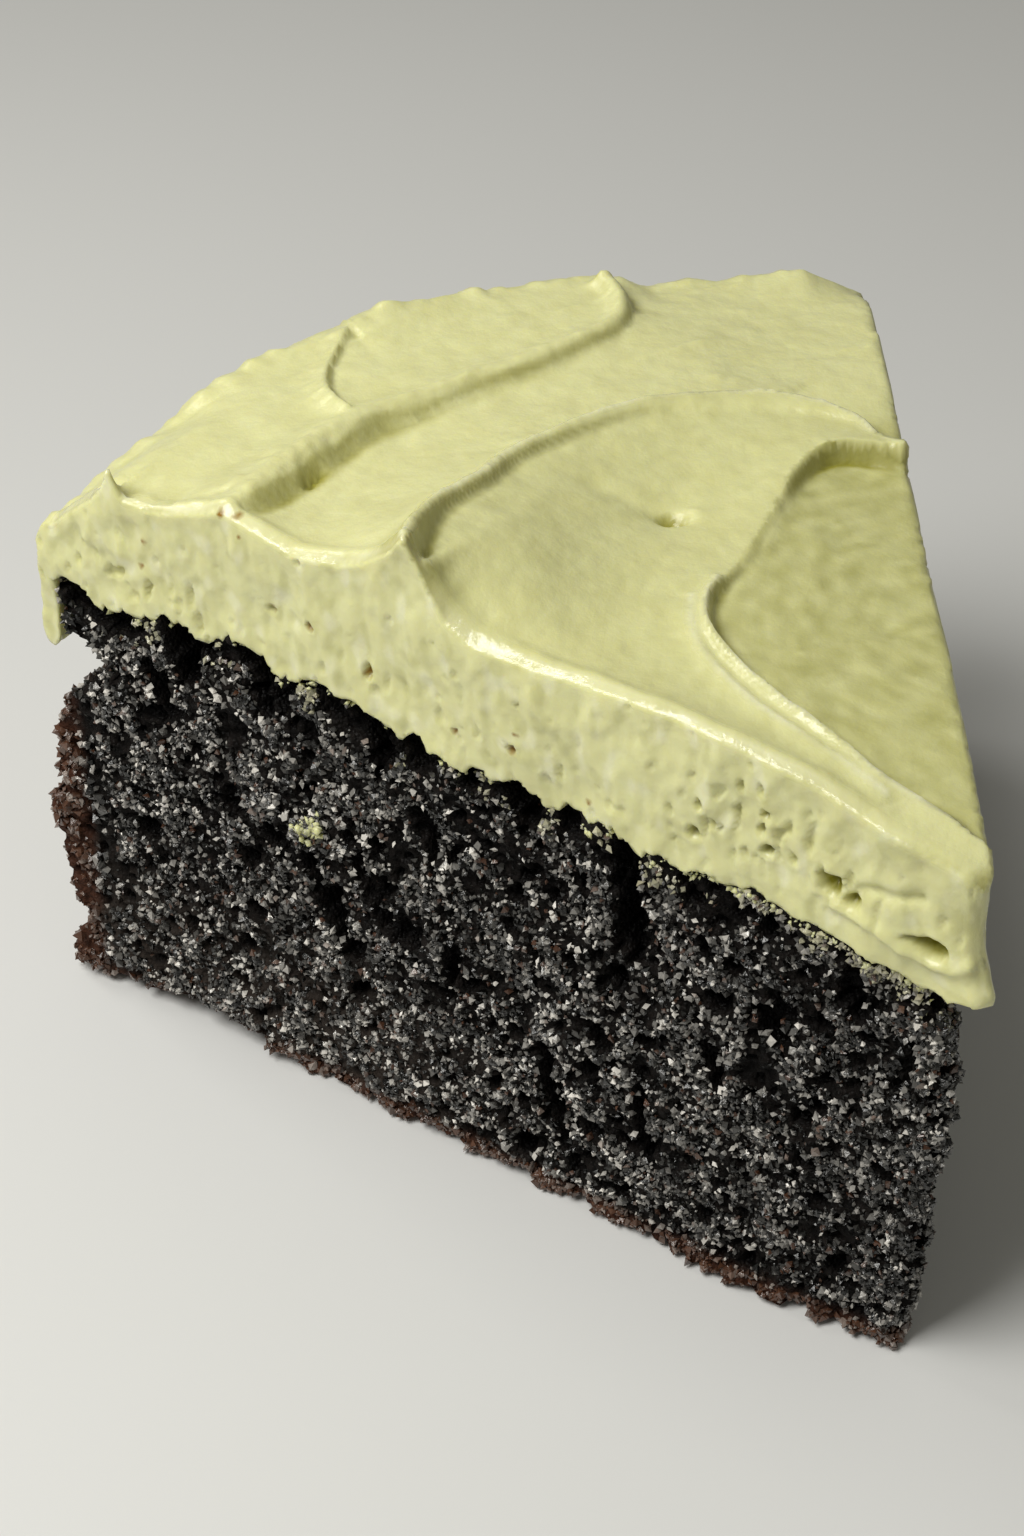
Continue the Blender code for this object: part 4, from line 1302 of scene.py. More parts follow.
@dataclass(frozen=True)
class GrainFinish:
    """Single grains of moist cocoa crumb, rounded by baking and filmed with syrup.

    Each is black, grey or brown by itself, and its wet film throws small, hard highlights. Pale
    grains are painted glints, gathered in clusters, and near the sheet a pale dust. Grains that
    touched the buttercream are creamy, and baked ones are red-brown.
    """

    name: str = "crumb_grains"
    dark: str = "#030302"
    # Painted glints, and pale dust near the sheet
    pale: str = "#E8E3DB"
    brown: str = "#5A3B2A"
    cream: str = "#C4C0A2"
    roughness: float = 0.34
    ior: float = 1.47
    reflection: float = 0.3
    film: float = 0.7
    film_roughness: float = 0.10
    grit_mm: float = 0.22

    def material(self) -> bpy.types.Material:
        """Builds the material.

        Returns:
            The material.
        """
        material, tree, shader = new_material(self.name)
        skin = bump(tree, mottle(tree, self.grit_mm, 2.0), 0.6, 0.12)
        feed(tree, shader, {
            # The pale layer is mostly painted glints
            "Base Color": layered(tree, self.dark, {
                self.pale: stored(tree, "glint_and_dust"), self.brown: stored(tree, "crust"),
                self.cream: stored(tree, "cream")}),
            "Normal": skin, "Coat Normal": skin, "Roughness": self.roughness, "IOR": self.ior,
            "Coat Weight": self.film, "Coat Roughness": self.film_roughness,
            "Specular IOR Level": self.reflection})
        return material


@dataclass(frozen=True)
class FloorFinish:
    """Matt white laminate, which gives the slice a plain pale ground."""

    name: str = "pale_floor"
    colour: str = "#DEDEDD"
    roughness: tuple[float, float] = (0.50, 0.56)
    haze_mm: float = 1000 / 14

    def material(self) -> bpy.types.Material:
        """Builds the material.

        Returns:
            The material.
        """
        material, tree, shader = new_material(self.name)
        haze = mottle(tree, self.haze_mm, 2.0)
        feed(tree, shader, {"Base Color": linear(self.colour),
                            "Roughness": remap(tree, haze, (0.0, 1.0), self.roughness)})
        return material


@dataclass
class Frosting:
    """The swirled buttercream with its cut sides, rolled rim and skirt.

    Steps are the spacing of corners. Shares say how strongly a colour of the finish shows.
    """

    swirl: Swirl
    body: Body
    marks: KnifeMarks = field(default_factory=KnifeMarks)
    finish: ButtercreamFinish = ButtercreamFinish()
    edge_step: float = 0.4
    fine_step: float = 0.38
    broad_step: float = 0.62
    cut_step: float = 0.34
    hidden_coarser: float = 1.4
    under_step: float = 4.0
    rim_inset: float = 0.6
    rim_corners: int = 46
    ridge_zone: float = 2.4
    round_over_left: float = 0.7
    round_over_right: float = 0.5
    # Shares of painted shade in the creases and on the steep flanks
    crease_shade_share: float = 0.85
    steep_shade_share: float = 0.5
    pale_share: float = 0.30
    dull_share: float = 0.28
    # Shares of painted shade on the low side and in the bowl
    low_side_shade_share: float = 0.60
    bowl_shade_share: float = 0.20
    # Keeps the streaks of the other skins apart from the top's
    streaks_apart: float = 500.0
    # Crests that get gloss and a painted highlight
    shining: tuple[str, ...] = ("crown ridge", "bead", "bead shoulder")

    def top_plan(self, outline: list) -> np.ndarray:
        """Plan positions of the top's inner corners, closest together beside the crests.

        Args:
            outline: plan positions around the top.

        Returns:
            The positions, one row each.
        """
        crests = np.vstack([ridge.path(self.fine_step)[:, :2] for ridge in self.swirl.ridges])
        inside = (inset(crests) > 0.6 * self.fine_step) & (np.hypot(*crests.T) < TIN_RADIUS - 1.2)
        crests = spaced(crests[inside], 0.7 * self.fine_step)
        fine, broad = lattice(outline, self.fine_step), lattice(outline, self.broad_step)
        to_crest, from_crest = nearest_gap(fine, crests), nearest_gap(broad, crests)
        fine = fine[(to_crest < self.ridge_zone) & (to_crest > 0.6 * self.fine_step)]
        broad = broad[from_crest > self.ridge_zone + 0.3 * self.broad_step]
        return np.vstack([crests, fine, broad])

    def profile(self, angle: float, top: float, sheet: float) -> np.ndarray:
        """Section of the rolled rim and the skirt.

        Args:
            angle: degrees from the middle, left positive.
            top: height of the top's edge.
            sheet: height of the sheet between the solids.

        Returns:
            Radius and height, down the outside and up the inside, one row each.
        """
        low = self.body.skirt_end(angle)
        inner = LEDGE_RADIUS + SIDE_GAP
        outer = inner + self.body.skirt_thickness
        wave = 0.35 * sin(angle * 0.9) + 0.25 * sin(angle * 2.3 + 2)
        rows = [(99.4, top), (outer - 1.5, top - 0.9), (outer - 0.5 + wave, top - 3.0),
                (outer - 0.6 + wave, 0.5 * (top + sheet)), (outer - 0.6 - wave, sheet),
                (outer, 0.6 * sheet + 0.4 * low), (outer + 0.3, low + 1.3), (outer - 0.7, low),
                (inner + 0.3, low + 0.9), (inner, sheet - 1.6), (inner, sheet)]
        path = smooth_path(rows, 0.5)
        reach = np.concatenate([[0], np.cumsum(np.hypot(*np.diff(path, axis=0).T))])
        even = np.linspace(0, reach[-1], self.rim_corners)
        return np.column_stack([np.interp(even, reach, column) for column in path.T])

    def build(self) -> bpy.types.Object:
        """Builds and dresses the frosting.

        Returns:
            The object.
        """
        shell = Shell()
        left, rim, right = plan_outline(TIN_RADIUS - self.rim_inset, self.edge_step)
        outline = left + rim + right
        inner = self.top_plan(outline)
        heights = self.swirl.height(np.vstack([outline, inner]))
        border = shell.cover(outline, inner, heights, Patch.TOP)

        outline = sum(plan_outline(LEDGE_RADIUS, self.edge_step), [])
        inner = lattice(outline, self.under_step)
        heights = self.body.sheet(np.vstack([outline, inner]))
        foot = shell.cover(outline, inner, heights, Patch.UNDER)

        lines = []
        for i, angle in enumerate(rim_angles(self.edge_step), start=len(left)):
            top, sheet = shell.points[border[i]][2], shell.points[foot[i]][2]
            shell.points[foot[i]] = (*rim_point(LEDGE_RADIUS + SIDE_GAP, angle), sheet)
            section = self.profile(angle, top, sheet)[1:-1]
            ring = shell.add([(*rim_point(radius, angle), z) for radius, z in section], Patch.RIM)
            lines.append([border[i], *ring, foot[i]])
        shell.strip(lines)
        steps = (self.cut_step, self.hidden_coarser * self.cut_step)
        shell.close(border, foot, lines, self.edge_step, steps)
        return self.dress(shell)

    def dress(self, shell: Shell) -> bpy.types.Object:
        """Shapes the skin's detail and gives the frosting its material.

        Args:
            shell: the frosting's corners and faces.

        Returns:
            The object.
        """
        flat = np.array(shell.points)
        points, pit_shade = self.worked(shell, flat)
        faces, _ = outward(points, shell.faces)
        item = make_object("frosting_spread", points, faces)
        on_top = shell.on(Patch.TOP)
        reach = np.hypot(flat[:, 0], flat[:, 1])
        across, along = self.swirl.strokes(flat[:, :2])
        across = np.where(on_top, across, reach + self.streaks_apart)
        along = np.where(on_top, along, flat[:, 2])
        stains = self.marks.fleck(np.column_stack([reach, flat[:, 2]]))
        for name, values in (
                ("across", across), ("along", along),
                # Painted shade: deeper olive in the creases, on steep flanks and in the cut sides' pits
                ("painted_shade", np.clip(self.shade(item) * on_top + pit_shade, 0, 1)),
                # Painted shade on the low side and in the bowl, and random dull patches on the cut
                # sides
                ("swept", self.shade_and_blotches(shell, flat, across, along)),
                ("fleck", stains * (depth_behind(flat, -1) < 1.0))):
            paint(item, name, values)
        self.polish(item, shell, flat)
        item.data.materials.append(self.finish.material())
        LOG.info("frosting: %d corners, %d faces", len(points), len(faces))
        return item

    def worked(self, shell: Shell, flat: np.ndarray) -> tuple[np.ndarray, np.ndarray]:
        """Shapes the crests, the cut sides and the rim.

        Args:
            shell: the frosting's corners and faces.
            flat: the same corners, one row each.

        Returns:
            The moved corners, and how deep each lies in a pit of the cut sides, from 0 to 1, which is
            laid on as painted shade.
        """
        reach = np.hypot(flat[:, 0], flat[:, 1])
        points = self.rounded(self.leaned(flat, shell.on(Patch.TOP)), flat, shell)
        pit_shade = np.zeros(len(flat))
        for side, patch, seed in ((-1, Patch.LEFT_CUT, 1), (1, Patch.RIGHT_CUT, 2)):
            chosen = shell.on(patch)
            spots = np.column_stack([reach, flat[:, 2]])[chosen]
            relief = self.marks.relief(spots, self.drop(flat, side)[chosen], seed)
            points[chosen] += outward_of(side) * relief[:, None]
            # The pits' depth is kept, to be painted as shade
            pit_shade[chosen] = smoothstep((-relief - 0.05) / 1.1)
        on_rim = shell.on(Patch.RIM)
        rim = flat[on_rim]
        lumps = 0.35 * ripple(rim, 2.2) + 0.12 * ripple(rim, 1.0, 3.0)
        points[on_rim, :2] += rim[:, :2] * (lumps / reach[on_rim])[:, None]
        return self.body.shaped(points, right_swell=0.15, right_push=0.9, nose_radius=1.3,
                                chin=2.4), pit_shade

    def shade(self, item: bpy.types.Object) -> np.ndarray:
        """Share of the painted shade, a deeper olive, in the creases and on the steep flanks.

        Args:
            item: the frosting.

        Returns:
            One share for each corner.
        """
        crease = smoothstep((hollowness(item) - 0.010) / 0.07)
        upright = np.zeros(3 * len(item.data.vertices))
        item.data.vertices.foreach_get("normal", upright)
        steep = smoothstep((0.86 - upright[2::3]) / 0.35)
        return np.maximum(self.crease_shade_share * crease, self.steep_shade_share * steep)

    def mottled(self, shell: Shell, flat: np.ndarray, size: float, shift: float, least: float
                ) -> np.ndarray:
        """Patches on the cut sides, from 0 to 1.

        Args:
            shell: the frosting's corners and faces.
            flat: the same corners, one row each.
            size: width of a patch.
            shift: moves the pattern.
            least: least noise that makes a patch.

        Returns:
            One value for each corner.
        """
        spots = pattern(np.hypot(flat[:, 0], flat[:, 1]), flat[:, 2] / 1.7, 9.0 * np.sign(flat[:, 0]))
        on_cut = shell.on(Patch.LEFT_CUT, Patch.RIGHT_CUT)
        return smoothstep((ripple(spots, size, shift) - least) / 0.4) * on_cut

    def shade_and_blotches(self, shell: Shell, flat: np.ndarray, across: np.ndarray, along: np.ndarray
               ) -> np.ndarray:
        """Share of the dull colour: painted shade on the low side and bowl, random cut-side patches.

        Args:
            shell: the frosting's corners and faces.
            flat: the same corners, one row each.
            across: distance across the stroke at each.
            along: distance along the stroke at each.

        Returns:
            One share for each corner.
        """
        plan = flat[:, :2]
        low = self.swirl.beyond_lip(plan)
        in_bowl = enclosed(plan, smooth_path(self.swirl.spoon_stroke, 0.8)) & ~low
        # Painted shade: the low side and the bowl are darkened with the dull colour
        swept = self.low_side_shade_share * low * smoothstep((66 - flat[:, 1]) / 9)
        swept += self.bowl_shade_share * in_bowl
        blotches = 0.85 + 0.6 * ripple(pattern(across, along / 2.0, 0.0), 1.5, 3.0)
        swept *= blotches * shell.on(Patch.TOP)
        return np.clip(swept + self.dull_share * self.mottled(shell, flat, 1.3, 5.5, 0.12), 0, 1)

    def polish(self, item: bpy.types.Object, shell: Shell, flat: np.ndarray) -> None:
        """Stores where the frosting is wet, and where it is painted pale.

        The pale colour is a painted highlight along the shining crests and the left edge, and random
        whitish patches on the cut sides.

        Args:
            item: the frosting.
            shell: its corners and faces.
            flat: the same corners, one row each.
        """
        on_top = shell.on(Patch.TOP)
        reach, depth = np.hypot(flat[:, 0], flat[:, 1]), depth_behind(flat, -1)
        lines = np.vstack([self.swirl.ridge(name).path()[:, :2] for name in self.shining])
        gap = nearest_gap(flat[:, :2], lines)
        wet = np.maximum(bell(depth, 1.6), 0.9 * bell(gap, 0.8)) * on_top
        wet += bell(self.drop(flat, -1), 0.9) * shell.on(Patch.LEFT_CUT)
        paint(item, "wet", wet)
        broken = np.clip(0.75 + 0.8 * ripple(flat, 5.0, 1.9), 0, 1)
        # Painted highlight: a pale line along the left edge and along the shining crests
        edge_highlight = bell(depth - 0.35, 0.4) * smoothstep((reach - 5) / 10)
        painted_highlight = np.maximum(0.45 * bell(gap, 0.4), 0.5 * edge_highlight) * broken * on_top
        paint(item, "crest", painted_highlight + self.pale_share * self.mottled(shell, flat, 1.6, 2.5, 0.15))

    def drop(self, flat: np.ndarray, side: int) -> np.ndarray:
        """How far each corner lies below the top edge of one cut.

        Args:
            flat: the corners, one row each.
            side: -1 for the left cut and 1 for the right one.

        Returns:
            One depth for each corner.
        """
        edge = np.linspace(0, TIN_RADIUS, 400)
        tops = self.swirl.height(np.column_stack(cut_point(edge, side)))
        return np.interp(np.hypot(flat[:, 0], flat[:, 1]), edge, tops) - flat[:, 2]

    def rounded(self, points: np.ndarray, flat: np.ndarray, shell: Shell) -> np.ndarray:
        """The corners with the sharp top edges of both cuts rounded over.

        Args:
            points: the corners as they are now.
            flat: the corners before they were leaned.
            shell: the frosting's corners and faces.

        Returns:
            The moved corners.
        """
        moved = points.copy()
        for side, patch, radius in ((-1, Patch.LEFT_CUT, self.round_over_left),
                                    (1, Patch.RIGHT_CUT, self.round_over_right)):
            inward = -outward_of(side)[:2]
            gap, drop = depth_behind(flat, side), self.drop(flat, side)
            near_top = shell.on(Patch.TOP) & (gap < radius)
            turn = radians(45) * (1 - np.clip(gap[near_top] / radius, 0, 1))
            moved[near_top, :2] += inward * (radius * (1 - np.sin(turn)) - gap[near_top])[:, None]
            moved[near_top, 2] -= radius * (1 - np.cos(turn))
            near_cut = shell.on(patch) & (drop < radius)
            turn = radians(90) - radians(45) * (1 - np.clip(drop[near_cut] / radius, 0, 1))
            moved[near_cut, :2] += inward * (radius * (1 - np.sin(turn)))[:, None]
            moved[near_cut, 2] += drop[near_cut] - radius * (1 - np.cos(turn))
        return moved

    def leaned(self, flat: np.ndarray, on_top: np.ndarray) -> np.ndarray:
        """The corners with the crests leaning the way they were swept.

        Args:
            flat: the corners, one row each.
            on_top: whether each lies on the top.

        Returns:
            The moved corners.
        """
        moved = flat.copy()
        plan = flat[on_top, :2]
        held = np.clip(inset(plan) / 4, 0, 1)
        held *= np.clip((TIN_RADIUS - 1 - np.hypot(*plan.T)) / 3, 0, 1)
        for ridge in self.swirl.ridges:
            path = ridge.path()
            distance, _, index = self.swirl.nearest(plan, path)
            tangent = np.gradient(path[:, :2], axis=0)[index]
            tangent /= np.linalg.norm(tangent, axis=1)[:, None]
            right = np.stack([tangent[:, 1], -tangent[:, 0]], axis=1)
            moved[on_top, :2] += right * (ridge.lean * bell(distance, 1.4) * held)[:, None]
        return moved


@dataclass
class Sponge:
    """The dark crumb with its torn cut sides, baked wall and flat base."""

    body: Body
    finish: SpongeFinish = SpongeFinish()
    edge_step: float = 0.4
    cut_step: float = 0.36
    hidden_step: float = 0.55
    top_step: float = 4.0
    base_inset: float = 3.0
    base_lift: float = 0.7
    torn_lift: float = 2.6
    # Tears and cracks of the cut: start and end as distance from the tip and height, half width, depth
    tears: Rows = field(default_factory=lambda: [
        (96.0, 54.0, 92.0, 52.5, 1.8, 2.6), (84.2, 55.0, 83.3, 49.5, 1.5, 3.6),
        (88.5, 48.0, 87.0, 43.0, 1.0, 2.4), (75.5, 54.0, 72.5, 50.0, 1.3, 3.0),
        (62.5, 53.0, 60.5, 49.0, 1.3, 3.0), (57.5, 52.5, 56.5, 50.0, 0.9, 2.0),
        (51.2, 51.5, 50.2, 49.6, 0.7, 1.8), (46.0, 51.0, 44.0, 48.0, 1.3, 2.6),
        (39.8, 51.0, 39.3, 49.0, 0.7, 1.8), (33.6, 51.6, 32.6, 37.5, 1.2, 3.2),
        (70.0, 31.5, 65.0, 21.0, 0.9, 2.6), (64.0, 33.5, 60.0, 27.5, 0.8, 2.4),
        (60.0, 27.5, 57.0, 26.5, 0.9, 2.0), (52.6, 28.0, 53.0, 23.5, 0.6, 1.8),
        (42.0, 19.5, 40.0, 10.0, 0.8, 2.4), (40.0, 10.0, 37.6, 5.0, 0.6, 1.8),
        (31.0, 18.5, 29.6, 11.5, 0.7, 2.0), (18.6, 37.5, 16.8, 34.5, 0.9, 1.8),
        (80.0, 34.0, 72.0, 31.5, 0.7, 1.4), (10.5, 45.0, 9.0, 41.0, 0.7, 1.6),
        (24.0, 30.0, 22.5, 25.0, 0.6, 1.6), (56.5, 43.0, 54.5, 39.0, 0.7, 1.6)])
    # Lumps of crumb: spacing, shift of the pattern, height, reach, and least share of the height
    lumps: Rows = field(default_factory=lambda: [
        (1.05, 0.0, 0.65, 0.55, 0.5), (2.5, 3.3, 1.15, 0.5, 0.4)])
    # Pores: spacing, shift of the pattern, depth, share left out, least radius and growth
    pores: Rows = field(default_factory=lambda: [
        (4.2, 9.1, 2.4, 0.35, 0.18, 0.28), (2.1, 5.7, 1.5, 0.2, 0.20, 0.34)])
    # How much of the crumb's relief shows where it isn't cut
    relief_share: dict[Patch, float] = field(default_factory=lambda: {
        Patch.UNDER: 0.0, Patch.RIM: 0.7, Patch.TOP: 0.4})
    # Loose grains and smears: how many, least and greatest radius
    cut_grains: tuple[int, float, float] = (24500, 0.18, 0.44)
    crust_grains: tuple[int, float, float] = (12000, 0.25, 0.62)
    smears: tuple[int, float, float] = (350, 0.15, 0.40)
    speck: tuple[int, float, float] = (40, 0.3, 0.6)
    speck_at: tuple[float, float] = (69.5, 35.5)
    wall_levels: int = 112
    wall_from: float = 97.0

    def build(self) -> bpy.types.Object:
        """Builds and dresses the sponge.

        Returns:
            The object.
        """
        shell = Shell()
        left, rim, right = plan_outline(LEDGE_RADIUS, self.edge_step)
        outline = left + rim + right
        inner = lattice(outline, self.top_step)
        heights = self.body.sheet(np.vstack([outline, inner]))
        border = shell.cover(outline, inner, heights, Patch.TOP)

        ring = np.array(outline)
        reach = np.hypot(ring[:, 0], ring[:, 1])
        torn = self.torn_lift * bell(reach - 86, 9) * (ring[:, 0] < 0)
        low = np.column_stack([ring, np.zeros(len(ring))])
        lift = self.base_lift + torn + 0.3 * ripple(low, 5.0) + 0.25 * ripple(low, 1.6)
        foot = shell.add([(x, y, z) for (x, y), z in zip(outline, lift)], Patch.BASE)

        lines = []
        for i, angle in enumerate(rim_angles(self.edge_step), start=len(left)):
            upper, lower = border[i], foot[i]
            z_low = shell.points[lower][2]
            levels = np.linspace(shell.points[upper][2], z_low, self.wall_levels)
            radii = self.body.wall(levels, angle)
            shell.points[lower] = (*rim_point(radii[-1], angle), z_low)
            wall = [(*rim_point(radius, angle), z) for radius, z in zip(radii[1:-1], levels[1:-1])]
            lines.append([upper, *shell.add(wall, Patch.RIM), lower])
        shell.strip(lines)
        shell.close(border, foot, lines, self.edge_step, (self.cut_step, self.hidden_step))
        base = shell.add(self.base_outline(len(left)), Patch.UNDER)
        shell.strip([foot + foot[:1], base + base[:1]])
        shell.faces.append(base)
        return self.dress(shell)

    def grains(self, host: bpy.types.Object) -> list[bpy.types.Object]:
        """Scatters grains on both cuts, the wall and the foot, and bits of frosting on the cuts.

        Args:
            host: the sponge.

        Returns:
            The objects.
        """
        spots = corners_of(host)
        # The painted shade marks pores and tears, where fewer grains lie
        painted_shade = np.zeros(len(spots))
        host.data.attributes["painted_shade"].data.foreach_get("value", painted_shade)
        reach, z = np.hypot(spots[:, 0], spots[:, 1]), spots[:, 2]
        on_wall = reach > self.wall_from
        below = self.body.sheet(spots[:, :2]) - z
        shown = (z > 0.3) & (below > 0.2)
        clustered = 0.45 + smoothstep(0.5 + 1.6 * ripple(spots, 3.4, 8.8))
        open_crumb = np.clip(1.05 - 1.6 * painted_shade, 0.004, 1.0) * clustered
        butter = ButtercreamFinish()
        made = []
        for name, side, seed in (("left_cut", -1, 11), ("right_cut", 1, 12)):
            on_cut = (depth_behind(spots, side) < 5.0) & ~on_wall
            crumbs = Grains(f"{name}_crumbs", *self.cut_grains, seed, self.body)
            smears = Grains(f"{name}_smears", *self.smears, seed + 10, self.body, butter, True)
            made.append(crumbs.build(host, open_crumb * on_cut * shown))
            made.append(smears.build(host, on_cut * (below > 0.1) * bell(below, 0.9)))
        crust = Grains("crust_crumbs", *self.crust_grains, 13, self.body)
        made.append(crust.build(host, (open_crumb * on_wall + 0.5 * (z < 2.5)) * shown))
        s, height = self.speck_at
        near = np.exp(-((reach - s) ** 2 + (z - height) ** 2) / 1.2) * (np.abs(reach - s) < 3)
        speck = Grains("frosting_speck", *self.speck, 15, self.body, butter, True)
        made.append(speck.build(host, (spots[:, 0] < 0) * near))
        return made

    def base_outline(self, count: int) -> list[Triple]:
        """Outline of the flat base: a smaller wedge, base_inset in from the slice's own.

        Args:
            count: how many corners each cut side has.

        Returns:
            The corners, from the tip along the left cut.
        """
        half = radians(HALF_ANGLE)
        tip = self.base_inset / sin(half)
        radius = LEDGE_RADIUS - self.base_inset
        length = (radius ** 2 - (tip * sin(half)) ** 2) ** 0.5 - tip * cos(half)
        corner = degrees(asin(length * sin(half) / radius))
        steps = [length * i / count for i in range(count)]
        left = [cut_point(s, -1) for s in steps]
        right = [cut_point(s, 1) for s in steps[:0:-1]]
        rim = [rim_point(radius, angle * corner / HALF_ANGLE) for angle in rim_angles(self.edge_step)]
        return ([(x, y + tip, 0.0) for x, y in left] + [(x, y, 0.0) for x, y in rim]
                + [(x, y + tip, 0.0) for x, y in right])

    def crumb(self, points: np.ndarray) -> np.ndarray:
        """How far the torn crumb stands out of its smooth form.

        Args:
            points: the corners, one row each.

        Returns:
            Distance outward for each corner, in millimetres.
        """
        frayed = 0.13 * ripple(points, 0.9, 4.4)
        relief = 0.45 * ripple(points, 5.0, 2.2)
        for spacing, shift, height, reach, least in self.lumps:
            near, _, draw = cells(points, spacing, shift)
            relief += height * (reach - near) * (least + draw)
        for spacing, shift, depth, left_out, least, growth in self.pores:
            near, _, draw = cells(points, spacing, shift)
            inside = smoothstep(1 - (near + frayed) / (least + growth * draw))
            relief -= depth * inside * (draw > left_out)
        knobs, _, bulk = cells(points, 2.7, 6.1)
        return relief + 1.5 * bell(points[:, 2], 2.4) * (0.45 - knobs) * (0.3 + bulk)

    def low_outer_paling(self, points: np.ndarray) -> np.ndarray:
        """How much paler the crumb is made, most of all low down near the wall."""
        reach = np.hypot(points[:, 0], points[:, 1])
        return smoothstep((26 - points[:, 2]) / 22) * smoothstep((reach - 38) / 30)

    def torn(self, spots: np.ndarray) -> np.ndarray:
        """Depth of the tears and cracks of a cut side.

        Args:
            spots: distance from the tip and height, one row each.

        Returns:
            One depth for each spot.
        """
        depth = np.zeros(len(spots))
        flat = np.column_stack([spots, np.zeros(len(spots))])
        ragged = 1 + 0.8 * ripple(flat, 1.3) + 0.6 * ripple(flat, 4.0, 3.0)
        for s0, z0, s1, z1, width, deepest in self.tears:
            gap = from_line(spots, (s0, z0), (s1, z1)) * ragged
            depth = np.maximum(depth, deepest * smoothstep(1.5 - gap / width))
        below = table(self.body.sponge_height, spots[:, 0]) - spots[:, 1]
        slots = ripple(pattern(spots[:, 0], spots[:, 1] / 3.5, 0.0), 1.7, 12.0)
        near_sheet = bell(below - 0.5, 2.4) * smoothstep((spots[:, 0] - 28) / 14)
        return np.maximum(depth, 2.6 * smoothstep((slots - 0.08) / 0.22) * near_sheet)

    def dress(self, shell: Shell) -> bpy.types.Object:
        """Tears the skin open and gives the sponge its material.

        Args:
            shell: the sponge's corners and faces.

        Returns:
            The object.
        """
        flat = np.array(shell.points)
        points = self.body.shaped(flat, right_swell=1.0, right_push=0.0, nose_radius=2.0, chin=-1.8)
        faces, normals = outward(points, shell.faces)
        relief = self.crumb(points)
        for patch, share in self.relief_share.items():
            relief[shell.on(patch)] *= share
        reach = np.hypot(flat[:, 0], flat[:, 1])
        torn = np.zeros(len(flat))
        deepest = np.where(shell.on(Patch.TOP), 1.4, 9.0)
        for side, shift in ((-1, 0.0), (1, 3.0)):
            on_cut = depth_behind(flat, side) < 0.01
            torn[on_cut] = self.torn(np.column_stack([reach + shift, flat[:, 2]])[on_cut])
            points[on_cut] -= outward_of(side) * np.minimum(torn, deepest)[on_cut][:, None]
        moved = points + normals * relief[:, None]
        moved[:, 2] = np.maximum(moved[:, 2], 0.0)
        item = make_object("sponge_crumb", moved, faces)
        # Painted shade: pores, dents and tears are painted full black
        painted_shade = smoothstep((0.2 - relief) / 1.3) + smoothstep(torn / 1.5)
        paint(item, "painted_shade", np.clip(painted_shade, 0, 1))
        crust = smoothstep((reach - 98.5) / 2.5) * (points[:, 2] < 46)
        crust = np.maximum(crust, smoothstep((3.2 - points[:, 2]) / 2.0))
        paint(item, "crust", crust * 0.85)
        # Paler low down near the wall
        paint(item, "low_pale", self.low_outer_paling(points) * 0.8)
        item.data.materials.append(self.finish.material())
        LOG.info("sponge: %d corners, %d faces", len(points), len(faces))
        return item


@dataclass(frozen=True)
class Pebble:
    """The angular, uneven form of one grain, as an eight-sided solid."""

    unevenness: float = 0.3
    corner_count: int = 6

    def corners(self) -> np.ndarray:
        """The six corners of the solid, one unit from its middle."""
        return np.vstack([np.eye(3), -np.eye(3)])

    def faces(self) -> np.ndarray:
        """The eight faces, each with its corners in outward order."""
        return np.array([(0, 1, 2), (1, 3, 2), (3, 4, 2), (4, 0, 2),
                         (1, 0, 5), (3, 1, 5), (4, 3, 5), (0, 4, 5)])

    def scatter(self, places: np.ndarray, sizes: np.ndarray, draw: np.random.Generator
                ) -> tuple[np.ndarray, np.ndarray]:
        """Copies of the solid, each turned, squashed and dented its own way.

        Args:
            places: middle of each grain, one row each.
            sizes: radius of each grain.
            draw: the seeded source of random numbers.

        Returns:
            All corners and all faces.
        """
        count = len(places)
        turn = draw.normal(size=(count, 4))
        w, x, y, z = (turn / np.linalg.norm(turn, axis=1)[:, None]).T
        spin = np.array([[1 - 2 * (y * y + z * z), 2 * (x * y - w * z), 2 * (x * z + w * y)],
                         [2 * (x * y + w * z), 1 - 2 * (x * x + z * z), 2 * (y * z - w * x)],
                         [2 * (x * z - w * y), 2 * (y * z + w * x), 1 - 2 * (x * x + y * y)]])
        stretch = draw.uniform(0.55, 1.4, (count, 1, 3))
        dents = 1 + draw.uniform(-self.unevenness, self.unevenness, (count, self.corner_count, 1))
        solids = self.corners()[None] * stretch * dents * sizes[:, None, None]
        solids = np.einsum("ijn,ncj->nci", spin, solids) + places[:, None, :]
        faces = self.faces()[None] + self.corner_count * np.arange(count)[:, None, None]
        return solids.reshape(-1, 3), faces.reshape(-1, 3)


